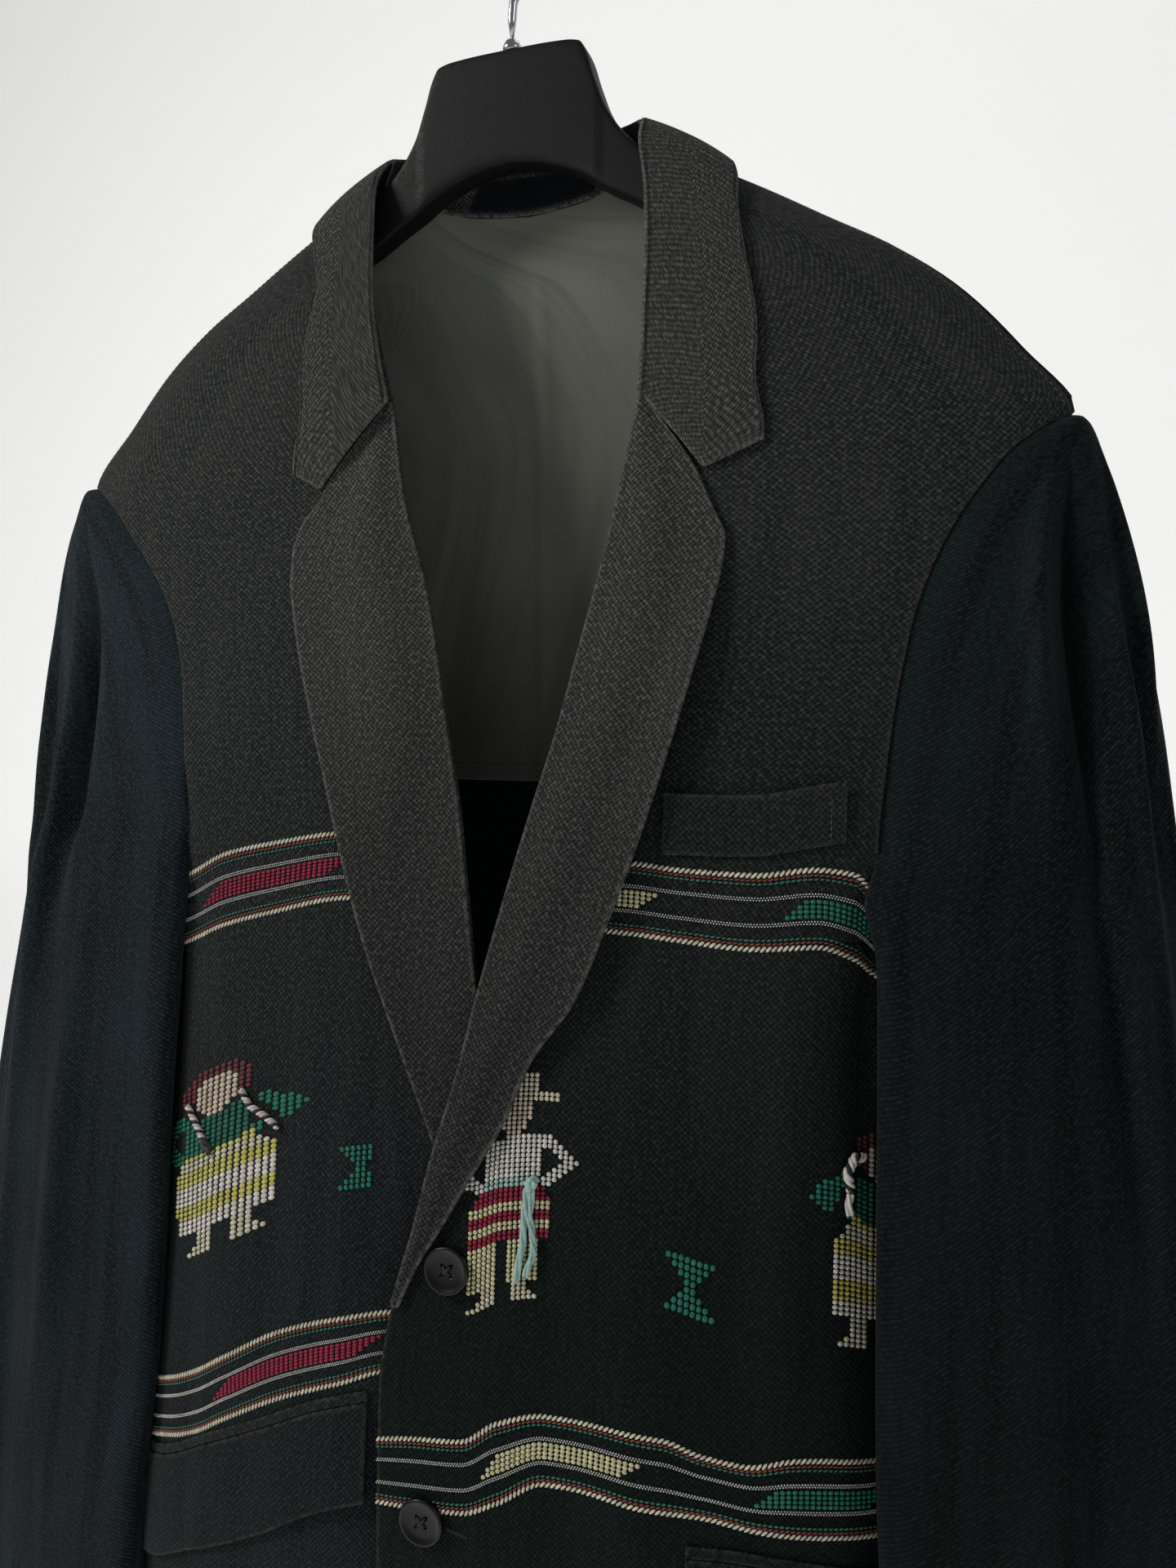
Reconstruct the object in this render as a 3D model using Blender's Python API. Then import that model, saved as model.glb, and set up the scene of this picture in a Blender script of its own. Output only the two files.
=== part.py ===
"""An embroidered jacket on a suit hanger, as solids.

The jacket is cut and sewn as a tailor makes it: two fronts with turned lapels, two backs, two-piece
sleeves, a collar with its stand, pockets and buttons. Each panel is a wall of cloth. The body of the
jacket is one smooth form, a ring at each height, and every panel is a stretch of that form between
its seams. Sizes are millimetres, and MM turns them to metres. The origin is the inside top of the
hook, where a rail would hold it. X runs to the wearer's left, Y to the back and Z up.
"""
import math

import bmesh
import bpy
import numpy as np

MM = 0.001

# Cloth and seams
CLOTH = 1.4
LAYERED = 2.2
LINING = 1.0
LAPEL_UNDER = 1.6
LAPEL_SLACK = 0.7
SEAM = 0.45

# The body's rings, from the neck points down to the hem. Above the shoulder points the half width is
# the shoulder ridge itself.
BODY = (
    ("z", "left_half", "right_half", "front", "back", "roundness"),
    (-124, 71, 71, 15, 21, 2.5),
    (-132, 86, 84, 17, 23, 2.6),
    (-142, 105, 102, 18, 26, 2.7),
    (-155, 129, 124, 20, 27, 2.8),
    (-170, 155, 148, 22, 28, 2.9),
    (-186, 183, 174, 24, 29, 3.0),
    (-206, 209, 199, 26, 30, 3.0),
    (-232, 233, 223, 28, 31, 3.0),
    (-262, 256, 248, 31, 32, 3.0),
    (-300, 259, 254, 36, 33, 3.0),
    (-350, 252, 248, 43, 33, 3.0),
    (-400, 238, 236, 52, 34, 2.9),
    (-450, 218, 217, 61, 34, 2.8),
    (-480, 205, 205, 66, 35, 2.7),
    (-520, 200, 200, 72, 36, 2.6),
    (-628, 200, 200, 85, 37, 2.6),
    (-744, 206, 206, 93, 38, 2.6),
    (-892, 216, 216, 97, 40, 2.6),
)
# The largest folds of the body: each starts at a turn round the ring, leans as it falls, and stands
# proud of the form or sinks below it.
BODY_FOLDS = (
    ("turn", "lean", "top", "bottom", "width", "height"),
    (62, 0.5, -330, -700, 5.0, -4.0),
    (50, -1.0, -380, -800, 6.0, 2.5),
    (30, -1.5, -540, -860, 7.0, 3.0),
    (17, 0.5, -620, -900, 6.0, -2.5),
    (-60, 0.6, -330, -700, 6.0, -3.5),
    (-38, 1.0, -540, -760, 7.0, 2.5),
    (150, 0.5, -430, -960, 8.0, -3.0),
    (205, -0.6, -400, -960, 8.0, -3.0),
    (174, 0.5, -520, -960, 7.0, 2.0),
)
SHOULDER_TURN = 81.0
SHOULDER_END = -262.0
ARMPIT = -480.5
HEM = -892.0
NECK_POINT = -128.5

# The armhole seam on the body, front and back, as places on the X axis
ARMHOLE = (
    ("z", "left_front", "left_back", "right_front", "right_back"),
    (-262, 252.8, 252.8, 244.8, 244.8),
    (-266, 245, 248, 237, 240),
    (-275, 232, 238, 225, 231),
    (-292, 218, 225, 209, 222),
    (-308, 207, 217, 195, 213),
    (-323, 199, 211, 184, 206),
    (-344, 191, 206, 174, 200),
    (-362, 186, 203, 169, 196),
    (-381, 182, 200, 166, 193),
    (-413, 178, 194, 163, 189),
    (-438, 175, 190, 162, 186),
    (-456, 176, 189, 163.5, 185),
    (-466, 179, 190.5, 168, 187),
    (-472, 183.5, 193, 175, 190),
    (-476.5, 189, 196, 184, 194),
    (-479.3, 196, 200, 194, 199),
    (-480.5, 204.6, 204.6, 204.6, 204.6),
)

# The inner edge of each front, from the neck point down the fold and roll line to the front edge and
# its rounded corner at the hem. The left front overlaps the right one.
LEFT_EDGE = (
    ("z", "x"),
    (-128, 71),
    (-150, 71.5),
    (-187, 74),
    (-212, 74),
    (-243, 73),
    (-279, 67),
    (-315, 60),
    (-358, 50),
    (-394, 42),
    (-423, 34),
    (-459, 24.5),
    (-499, 14.5),
    (-549, 3),
    (-581, -6),
    (-611, -13),
    (-640, -21),
    (-662, -26.5),
    (-690, -29.5),
    (-830, -29.5),
    (-862, -24),
    (-880, -9),
    (-888, 8),
    (-892, 32),
)
RIGHT_EDGE = (
    ("z", "x"),
    (-128, -71),
    (-150, -68),
    (-187, -63),
    (-212, -57),
    (-243, -49),
    (-281, -42),
    (-327, -27),
    (-369, -17),
    (-410, -8),
    (-449, -1),
    (-489, 6),
    (-515, 11),
    (-560, 18),
    (-610, 23),
    (-830, 23),
    (-862, 17),
    (-880, 4),
    (-888, -12),
    (-892, -34),
)
# How far the right front drops below the form where the left front lies on it
UNDERLAP = 5.5
UNDERLAP_FROM = -56.0
UNDERLAP_FULL = -12.0

# The lapels' outer edges: the gorge seam, the notch, the tip and the long edge down to the break
LEFT_LAPEL = (
    ("z", "x"),
    (-244, 76),
    (-279, 101),
    (-281, 102),
    (-296, 109),
    (-310, 115),
    (-320, 114.5),
    (-335, 112),
    (-370, 104),
    (-404, 95),
    (-439, 85),
    (-474, 73),
    (-509, 59),
    (-535, 41),
    (-563, 29),
    (-592, 12),
    (-613, 0),
    (-633, -12),
    (-652, -20.5),
)
RIGHT_LAPEL = (
    ("z", "x"),
    (-236, -52),
    (-277, -86),
    (-280, -87),
    (-294, -98),
    (-308, -102),
    (-320, -102),
    (-333, -100),
    (-357, -94),
    (-388, -84),
    (-419, -73),
    (-456, -60),
    (-493, -46),
    (-528, -31),
    (-559, -17),
    (-585, -4),
    (-610, 12),
)

# The collar from the wearer's left front end, s = 0, round the back to the right front end, s = 2:
# the fold at its top, and its outer edge as a height and a turn on the body
COLLAR = (
    ("s", "fold_x", "fold_y", "fold_z", "edge_z", "edge_turn"),
    (0.00, 74, -35, -243, -268, 30.4),
    (0.12, 75, -33, -218, -250, 30.7),
    (0.28, 75, -29, -187, -222, 34.1),
    (0.45, 72.5, -21, -152, -190, 39.5),
    (0.58, 67, -12, -125, -161, 55),
    (0.68, 64, 3, -109, -142.5, 90),
    (0.78, 52, 17, -104.5, -146, 129),
    (0.89, 28, 25, -103, -149, 155),
    (1.00, 0, 28, -102.5, -150, 180),
    (1.11, -28, 25, -103, -149, 205),
    (1.22, -53, 17, -104.5, -146, 231),
    (1.32, -65, 3, -108, -140, 270),
    (1.42, -67, -12, -124, -156, 308),
    (1.55, -65, -20, -150, -184, 326),
    (1.72, -61, -28, -187, -222, 331.5),
    (1.88, -55, -33, -215, -249, 334.7),
    (2.00, -49, -36, -237, -268, 335.3),
)
# The fall clears the body by this, and by more where it bends over the shoulder
COLLAR_LIFT = 2.6
RIDGE_LIFT = 2.2
COLLAR_BULGE = 5.0
# Each notch's place along its collar end, and how far it lies below the straight end
LEFT_NOTCH = (1 / 2, 24.0)
RIGHT_NOTCH = (2 / 3, 20.0)
NOTCH_REACH = 0.12

# The collar stand inside the neck, by the same s, and its seam to the neckline
STAND = (
    ("s", "seam_x", "seam_y", "seam_z"),
    (0.62, 70, -5, -121.5),
    (0.70, 69.5, 6, -122),
    (0.78, 60, 13.5, -127),
    (0.89, 35, 18.5, -134),
    (1.00, 0, 21, -137),
    (1.11, -35, 18.5, -134),
    (1.22, -60, 13.5, -127),
    (1.30, -69.5, 6, -122),
    (1.38, -70, -5, -121.5),
)
BACK_NECK = (
    ("z", "x"),
    (-126, 72),
    (-128, 62),
    (-131, 48),
    (-134, 32),
    (-136, 14),
    (-137, 0.2),
)

# The sleeves below the armpit: the outermost edge, and the front and back seams of the top sleeve
SLEEVE = (
    ("z", "outer_x", "outer_y", "front_x", "front_y", "back_x", "back_y"),
    (-262, 258, 0, 254, -4, 254, 4),
    (-266, 264, -1, 246, -12, 248, 12),
    (-277, 270, -2, 232, -18, 237, 18),
    (-292, 275, -3, 219, -24, 225, 22),
    (-330, 281, -4, 199, -34, 209, 26),
    (-393, 290, -6, 186, -46, 198, 28),
    (-430, 295, -7, 183, -51, 192, 28),
    (-466, 300, -8, 174.5, -57, 190, 28),
    (-500, 304, -10, 176, -60, 194, 30),
    (-560, 313, -14, 178, -64, 197, 29),
    (-620, 321, -18, 179, -67, 200, 26),
    (-700, 329, -24, 181, -71, 211, 20),
    (-780, 333, -30, 187, -72, 220, 11),
    (-862, 336, -34, 200, -70, 229, 0),
    (-915, 338, -37, 210, -70, 235, -7),
)
# The right sleeve hangs a little closer to the body
RIGHT_OUTER = -8.0
RIGHT_FRONT = -10.5
SLEEVE_SEAM_TOP = -466.0
SLEEVE_END = -915.0
SLEEVE_ROUNDNESS = 2.3
UNDER_DEPTH = 16.0
SLEEVE_STEP = 1.0
UNDER_CLEAR = 4.2
POCKET_CLEAR = 3.6
# Folds down the top sleeve: share is the place from the front seam, 0, to the back seam, 1
SLEEVE_FOLDS = (
    ("share", "lean", "top", "bottom", "width", "height"),
    (0.20, 0.02, -262, -520, 0.035, -3.5),
    (0.27, 0.01, -264, -900, 0.05, 4.5),
    (0.36, -0.01, -270, -640, 0.035, -3.5),
    (0.46, 0.00, -300, -980, 0.04, 3.0),
    (0.13, 0.01, -430, -900, 0.045, 3.0),
    (0.60, 0.00, -300, -760, 0.05, -3.5),
    (0.70, 0.01, -320, -960, 0.05, 3.0),
    (0.84, -0.01, -380, -800, 0.05, -3.0),
)

# The half lining of the back, from the neck seam to its hem at mid back
LINING_EDGE = (
    ("z", "turn"),
    (-139, 134),
    (-170, 128),
    (-262, 127),
    (-330, 129),
    (-423, 132),
)
LINING_DROP = 3.4

# Pocket pieces, as places of their corners on the form
WELT = (
    ("x", "top", "bottom"),
    (93, -419, -445),
    (112, -419.5, -445),
    (133, -419, -444.5),
    (150, -416, -441.5),
    (163, -413.5, -439),
    (169, -413, -438),
)
FLAP_RIGHT = (
    ("x", "top", "bottom"),
    (-185, -771, -824),
    (-172, -766, -818),
    (-150, -754, -804),
    (-127, -740, -791),
    (-93, -722, -772),
    (-62, -706, -752),
    (-46, -700, -745),
    (-36, -697, -742),
)
FLAP_LEFT = (
    ("x", "top", "bottom"),
    (112, -735, -790),
    (130, -736, -792),
    (150, -739, -796),
    (172, -745, -802),
    (188, -751, -808),
    (197, -757, -814),
)
JET = 5.0
# How far a flap's lower edge and a welt's top stand off the cloth below them
FLAP_STAND = 1.4
WELT_GAPE = 1.2

# Buttons
BUTTON_RADIUS = 10.6
BUTTON_THICK = 3.4
HOLE_RADIUS = 0.95
HOLE_OUT = 2.0
BUTTONS = (
    ("button_upper", 4.0, -629.5),
    ("button_lower", -5.5, -742.0),
)

# The neck label on the collar stand, left bare
LABEL_FROM = 0.885
LABEL_TO = 1.10
LABEL_TOP = 0.46
LABEL_BOTTOM = 0.94
LABEL_THICK = 0.6

# The hanger: its neck and arms as sections along X
HANGER = (
    ("x", "top", "bottom", "thick"),
    (0, -70.5, -123, 15),
    (15, -70.6, -125, 15),
    (29, -71.2, -129.5, 15),
    (36, -72.6, -132.5, 15),
    (39.5, -78, -134.5, 15),
    (43.5, -90, -137, 15),
    (49.5, -105, -141, 14),
    (57, -116, -145, 14),
    (64, -123, -149, 14),
    (72, -129, -154, 14),
    (80, -133, -158, 15),
)
ARM_FROM = 80.0
ARM_TO = 206.0
ARM_CLEAR = 2.7
ARM_HEIGHT = 26.0
ARM_THICK = 20.0
FERRULE_RADIUS = 4.6
HOOK_RADIUS = 19.0
WIRE = 2.2
# The steel hook: its shank, its bend out to the round and its open end, as places in the XZ plane
HOOK_SHANK = (
    (0.0, -63.6),
    (0.0, -54.0),
    (0.6, -47.0),
    (3.6, -41.0),
    (8.6, -36.2),
)
HOOK_START = -55.0
HOOK_STOP = 196.0

COLOURS = {
    "front_cloth": ((0.030, 0.032, 0.033), 0.92, 0.0),
    "collar_cloth": ((0.048, 0.048, 0.046), 0.94, 0.0),
    "sleeve_cloth": ((0.012, 0.018, 0.021), 0.90, 0.0),
    "lining_cloth": ((0.045, 0.047, 0.044), 0.85, 0.0),
    "label_cloth": ((0.014, 0.015, 0.020), 0.80, 0.0),
    "button_resin": ((0.010, 0.010, 0.010), 0.30, 0.0),
    "hanger_lacquer": ((0.014, 0.014, 0.015), 0.55, 0.0),
    "hook_steel": ((0.62, 0.62, 0.63), 0.28, 1.0),
}


def clear_scene():
    """Removes whatever the file opened with."""
    for thing in list(bpy.data.objects):
        bpy.data.objects.remove(thing)


def material(name):
    """The named material, made once."""
    made = bpy.data.materials.get(name)
    if made:
        return made
    colour, roughness, metallic = COLOURS[name]
    made = bpy.data.materials.new(name)
    made.use_nodes = True
    shader = made.node_tree.nodes["Principled BSDF"]
    shader.inputs["Base Color"].default_value = (*colour, 1.0)
    shader.inputs["Roughness"].default_value = roughness
    shader.inputs["Metallic"].default_value = metallic
    return made


def columns_of(table, name):
    """The first column of a table and the named one, in rising order."""
    place = table[0].index(name)
    rows = sorted(table[1:])
    return np.array([row[0] for row in rows], float), np.array([row[place] for row in rows], float)


def sharp(table, name):
    """Straight lines through a named column, which keep its corners."""
    at, value = columns_of(table, name)
    return lambda place: np.interp(place, at, value)


def smooth(table, name):
    """A smooth curve through a named column that never overshoots its values."""
    at, value = columns_of(table, name)
    step = np.diff(at)
    rise = np.diff(value) / step
    slope = np.zeros(len(at))
    slope[0], slope[-1] = rise[0], rise[-1]
    before, after = rise[:-1], rise[1:]
    same_way = before * after > 0
    total = np.where(same_way, before + after, 1.0)
    slope[1:-1] = np.where(same_way, 2 * before * after / total, 0.0)

    def read(place):
        place = np.clip(place, at[0], at[-1])
        k = np.clip(np.searchsorted(at, place) - 1, 0, len(step) - 1)
        t = (place - at[k]) / step[k]
        start = (1 + 2 * t) * (1 - t) ** 2 * value[k] + t * (1 - t) ** 2 * step[k] * slope[k]
        end = t * t * (3 - 2 * t) * value[k + 1] + t * t * (t - 1) * step[k] * slope[k + 1]
        return start + end

    return read


def ease(low, high, value):
    """0 below low, 1 above high and smooth between."""
    t = np.clip((value - low) / (high - low), 0, 1)
    return t * t * (3 - 2 * t)


def folds(table, along, z):
    """The height of all the folds of a table at a place along the ring and a height z."""
    total = np.zeros(np.broadcast(along, z).shape)
    for start, lean, top, bottom, width, height in table[1:]:
        fall = np.clip((top - z) / (top - bottom), 0, 1)
        middle = start + lean * (top - z) / 100
        total = total + height * np.sin(math.pi * fall) ** 2 * np.exp(-(((along - middle) / width) ** 2))
    return total


LEFT_HALF = smooth(BODY, "left_half")
RIGHT_HALF = smooth(BODY, "right_half")
FRONT = smooth(BODY, "front")
BACK = smooth(BODY, "back")
ROUND = smooth(BODY, "roundness")


def half_width(z, side):
    """The form's half width, on the left where side is positive and else on the right."""
    return np.where(np.asarray(side) < 0, RIGHT_HALF(z), LEFT_HALF(z))


def form(z, turn):
    """The smooth form: turn 0 is the centre front, 90 the left side, 180 the centre back."""
    z, turn = np.broadcast_arrays(np.asarray(z, float), np.asarray(turn, float))
    across = np.sin(np.radians(turn))
    depth = np.where(np.cos(np.radians(turn)) > 0, -FRONT(z), BACK(z))
    power = ROUND(z)
    y = depth * np.maximum(1 - np.abs(across) ** power, 0) ** (1 / power)
    return np.stack([half_width(z, across) * across, y, z], axis=-1)


def body(z, turn):
    """The form with its folds, moved along the ring's own outward direction."""
    place = form(z, turn)
    run = form(z, np.asarray(turn) + 0.5) - form(z, np.asarray(turn) - 0.5)
    out = np.stack([run[..., 1], -run[..., 0], np.zeros_like(run[..., 0])], axis=-1)
    out /= np.maximum(np.linalg.norm(out, axis=-1, keepdims=True), 1e-9)
    side = np.mod(np.asarray(turn) + 180, 360) - 180
    wrapped = np.where(np.asarray(turn) > 135, turn, side)
    return place + out * folds(BODY_FOLDS, wrapped, place[..., 2])[..., None]


def facing(surface, first, second, first_step, second_step):
    """Unit normals of a surface, by small steps along both of its directions."""
    along = surface(first, second + second_step) - surface(first, second - second_step)
    down = surface(first + first_step, second) - surface(first - first_step, second)
    normal = np.cross(along, down)
    return normal / np.maximum(np.linalg.norm(normal, axis=-1, keepdims=True), 1e-9)


def on_body(z, turn, lift=0.0):
    """Points on the body, moved out by lift."""
    z, turn = np.broadcast_arrays(np.asarray(z, float), np.asarray(turn, float))
    normal = facing(body, z, turn, 0.5, 0.5)
    return body(z, turn) + normal * np.asarray(lift)[..., None], normal


def turn_at(z, x, back=False):
    """The turn at which the form passes a place on the X axis."""
    turn = np.degrees(np.arcsin(np.clip(x / half_width(z, x), -1, 1)))
    return 180 - turn if back else turn


def shifted(z, turn, gap):
    """A turn moved along the ring by a gap in millimetres."""
    reach = np.linalg.norm(form(z, turn + 0.5) - form(z, turn - 0.5), axis=-1)
    return turn + gap / np.maximum(reach, 0.3)


def heights(*stops):
    """Heights from stop to stop: each stop after the first is (z, number of steps)."""
    rows = [float(stops[0])]
    for stop, steps in stops[1:]:
        rows += list(np.linspace(rows[-1], stop, steps + 1)[1:])
    return np.array(rows)


def new_object(name, bm, slot, smooth_angle=40):
    """An object from a bmesh in millimetres, with its faces pointing out."""
    bmesh.ops.scale(bm, vec=(MM, MM, MM), verts=bm.verts)
    if bm.calc_volume(signed=True) < 0:
        bmesh.ops.reverse_faces(bm, faces=bm.faces)
    mesh = bpy.data.meshes.new(name)
    bm.to_mesh(mesh)
    bm.free()
    mesh.materials.append(material(slot))
    mesh.shade_smooth()
    mesh.set_sharp_from_angle(angle=math.radians(smooth_angle))
    made = bpy.data.objects.new(name, mesh)
    bpy.context.collection.objects.link(made)
    return made


def wall(name, points, normals, thick, slot):
    """A closed wall of cloth from a grid of middle points and their outward normals."""
    rows, columns = points.shape[:2]
    bm = bmesh.new()
    sides = []
    for half in (thick / 2, -thick / 2):
        moved = points + normals * half
        sides.append([[bm.verts.new(moved[i, j]) for j in range(columns)] for i in range(rows)])
    outer, inner = sides
    for i in range(rows - 1):
        for j in range(columns - 1):
            bm.faces.new((outer[i][j], outer[i + 1][j], outer[i + 1][j + 1], outer[i][j + 1]))
            bm.faces.new((inner[i][j], inner[i][j + 1], inner[i + 1][j + 1], inner[i + 1][j]))
    ring = [(i, 0) for i in range(rows)]
    ring += [(rows - 1, j) for j in range(1, columns)]
    ring += [(i, columns - 1) for i in range(rows - 2, -1, -1)]
    ring += [(0, j) for j in range(columns - 2, 0, -1)]
    for (a, b), (c, d) in zip(ring, ring[1:] + ring[:1]):
        bm.faces.new((outer[c][d], outer[a][b], inner[a][b], inner[c][d]))
    return new_object(name, bm, slot)


def grid_normals(points):
    """Unit normals of a grid of points, from its neighbours."""
    down = np.gradient(points, axis=0)
    along = np.gradient(points, axis=1)
    normal = np.cross(down, along)
    return normal / np.maximum(np.linalg.norm(normal, axis=-1, keepdims=True), 1e-9)


def body_panel(name, z, start, end, columns, lift, slot, thick=CLOTH):
    """A wall on the body between two turns at each height."""
    share = np.linspace(0, 1, columns)[None, :]
    rows = np.broadcast_to(z[:, None], (len(z), columns))
    turn = start[:, None] * (1 - share) + end[:, None] * share
    points, normals = on_body(rows, turn, lift(rows, turn))
    return wall(name, points, normals, thick, slot)


def armhole_turn(z, side, back=False):
    """The turn of the armhole seam, positive on the left and negative on the right."""
    column = ("left" if side > 0 else "right") + ("_back" if back else "_front")
    turn = turn_at(z, side * smooth(ARMHOLE, column)(z))
    return side * 180 - turn if back else turn


def front_side(z, side):
    """The outer edge of a front, as a turn: shoulder, armhole, then side seam."""
    armhole = armhole_turn(z, side)
    return np.where(z > SHOULDER_END, side * SHOULDER_TURN, np.where(z > ARMPIT, armhole, side * 90.0))


def back_side(z, side):
    """The outer edge of a back, as a turn."""
    armhole = armhole_turn(z, side, back=True)
    crest = SHOULDER_TURN + (180 - 2 * SHOULDER_TURN) * ease(-SHOULDER_END - 8, -SHOULDER_END, -z)
    return np.where(z > SHOULDER_END, side * crest, np.where(z > ARMPIT, armhole, side * 90.0))


def no_lift(z, turn):
    """Lies on the form itself."""
    return np.zeros_like(z)


def underlap(z, turn):
    """How far the right front lies below the form, where the left front covers it."""
    x = form(z, turn)[..., 0]
    return -UNDERLAP * ease(UNDERLAP_FROM, UNDERLAP_FULL, x) * ease(380, 440, -z)


FRONT_ROWS = heights(NECK_POINT, (-262, 7), (-440, 6), (-456, 1), (-466, 1), (-472, 1), (-476.5, 1),
                     (-479.3, 1), (-480.8, 1), (-500, 1), (-830, 8), (-862, 1), (-880, 2), (-888, 1),
                     (HEM, 1))
BACK_ROWS = heights(-126.6, (-130, 1), (-134, 1), (-137.2, 2), (-160, 1), (-262, 5), (-440, 5), (-456, 1),
                    (-466, 1), (-472, 1), (-476.5, 1), (-479.3, 1), (-480.8, 1), (HEM, 7))


def make_fronts():
    """Both fronts, from the front edge round to the side seam."""
    edge = turn_at(FRONT_ROWS, smooth(LEFT_EDGE, "x")(FRONT_ROWS))
    side = shifted(FRONT_ROWS, front_side(FRONT_ROWS, 1), -SEAM / 2)
    body_panel("front_left", FRONT_ROWS, edge, side, 15, no_lift, "front_cloth")
    edge = turn_at(FRONT_ROWS, smooth(RIGHT_EDGE, "x")(FRONT_ROWS))
    side = shifted(FRONT_ROWS, front_side(FRONT_ROWS, -1), SEAM / 2)
    body_panel("front_right", FRONT_ROWS, side, edge, 15, underlap, "front_cloth")


def make_backs():
    """Both backs, which meet at the centre back seam."""
    neck = turn_at(BACK_ROWS, smooth(BACK_NECK, "x")(BACK_ROWS), back=True)
    inner = np.where(BACK_ROWS > -137.2, neck, 180 - np.degrees(SEAM / 2 / LEFT_HALF(BACK_ROWS)))
    side = shifted(BACK_ROWS, back_side(BACK_ROWS, 1), SEAM / 2)
    body_panel("back_left", BACK_ROWS, side, inner, 10, no_lift, "sleeve_cloth")
    side = 360 + shifted(BACK_ROWS, back_side(BACK_ROWS, -1), -SEAM / 2)
    body_panel("back_right", BACK_ROWS, 360 - inner, side, 10, no_lift, "sleeve_cloth")


def lapel_points(table, edge, z, thick, drop):
    """Points of a turned lapel, from the roll line to its outer edge, raised at the roll."""
    roll_x = smooth(edge, "x")(z)
    outer_x = sharp(table, "x")(z)
    share = np.linspace(0, 1, 6)[None, :]
    x = roll_x[:, None] * (1 - share) + outer_x[:, None] * share
    rows = np.broadcast_to(z[:, None], x.shape)
    width = np.abs(outer_x - roll_x)[:, None]
    roll = 3.0 * np.clip(width / 55, 0, 1) * np.sin(math.pi * np.minimum(share / 0.75, 1)) ** 2
    below = drop(rows, turn_at(rows, x))
    buried = np.clip(-below / UNDERLAP * 1.5, 0, 1)
    lift = (CLOTH + thick) / 2 + SEAM + roll * (1 - buried) + LAPEL_SLACK * buried + below
    return on_body(rows, turn_at(rows, x), lift)


def make_lapels():
    """The turned ends of the front facings."""
    z = heights(-244.4, (-262, 1), (-279, 1), (-281, 1), (-296, 1), (-310, 1), (-320, 1), (-335, 1),
                (-650, 11))
    points, normals = lapel_points(LEFT_LAPEL, LEFT_EDGE, z, LAYERED, no_lift)
    wall("lapel_left", points, normals, LAYERED, "collar_cloth")
    z = heights(-236.6, (-256, 1), (-277, 1), (-280, 1), (-294, 1), (-308, 1), (-320, 1), (-333, 1),
                (-604, 10))
    points, normals = lapel_points(RIGHT_LAPEL, RIGHT_EDGE, z, LAPEL_UNDER, underlap)
    wall("lapel_right", points, normals, LAPEL_UNDER, "collar_cloth")


def collar_fold(s):
    """The collar's fold line."""
    return np.stack([smooth(COLLAR, name)(s) for name in ("fold_x", "fold_y", "fold_z")], axis=-1)


def collar_fall(s, share):
    """The collar's outer fall, from its fold at share 0 to its edge at share 1."""
    s, share = np.broadcast_arrays(np.asarray(s, float), np.asarray(share, float))
    fold = collar_fold(s)
    ridge = np.exp(-(((np.abs(s - 1) - 0.33) / 0.12) ** 2))
    lift = COLLAR_LIFT + RIDGE_LIFT * ridge
    edge, _ = on_body(smooth(COLLAR, "edge_z")(s), smooth(COLLAR, "edge_turn")(s), lift)
    middle = (fold + edge) / 2
    away = middle - np.stack([middle[..., 0] * 0.3, np.full_like(s, 4.0), middle[..., 2] - 30], axis=-1)
    away /= np.linalg.norm(away, axis=-1, keepdims=True)
    middle = middle + away * COLLAR_BULGE
    t = share[..., None]
    place = (1 - t) ** 2 * fold + 2 * t * (1 - t) * middle + t * t * edge
    for (at, drop), from_end in ((LEFT_NOTCH, s), (RIGHT_NOTCH, 2 - s)):
        along = np.where(share < at, share / at, (1 - share) / (1 - at))
        place[..., 2] -= drop * np.maximum(1 - from_end / NOTCH_REACH, 0) * along
    return place


def make_collar():
    """The fall that shows outside and the stand that shows inside the neck."""
    s = np.concatenate([[0.0, 0.06], np.linspace(0.12, 1.88, 27), [1.94, 2.0]])
    share = np.linspace(0, 1, 7)
    points = collar_fall(s[:, None], share[None, :])
    wall("collar_fall", points, grid_normals(points), LAYERED, "collar_cloth")
    s = np.linspace(0.66, 1.34, 15)
    points = collar_stand(s[:, None], np.linspace(0, 1, 4)[None, :])
    wall("collar_stand", points, grid_normals(points), CLOTH, "collar_cloth")


def collar_stand(s, share):
    """The collar's inner stand, from just inside the fold down to the neck seam."""
    s, share = np.broadcast_arrays(np.asarray(s, float), np.asarray(share, float))
    fold = collar_fold(s)
    seam = np.stack([smooth(STAND, name)(s) for name in ("seam_x", "seam_y", "seam_z")], axis=-1)
    inward = np.stack([-fold[..., 0], 4 - fold[..., 1], np.zeros_like(s)], axis=-1)
    inward /= np.linalg.norm(inward, axis=-1, keepdims=True)
    top = fold + inward * (CLOTH / 2 + LAYERED / 2 + SEAM + 1.0)
    top[..., 2] -= 1.0
    t = share[..., None]
    return top * (1 - t) + seam * t


def make_label():
    """The bare neck label, sewn to the stand."""
    s = np.linspace(LABEL_FROM, LABEL_TO, 6)
    points = collar_stand(s[:, None], np.linspace(LABEL_TOP, LABEL_BOTTOM, 3)[None, :])
    normals = grid_normals(points)
    points = points - normals * (CLOTH / 2 + LABEL_THICK / 2 + SEAM)
    wall("neck_label", points, normals, LABEL_THICK, "label_cloth")


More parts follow.
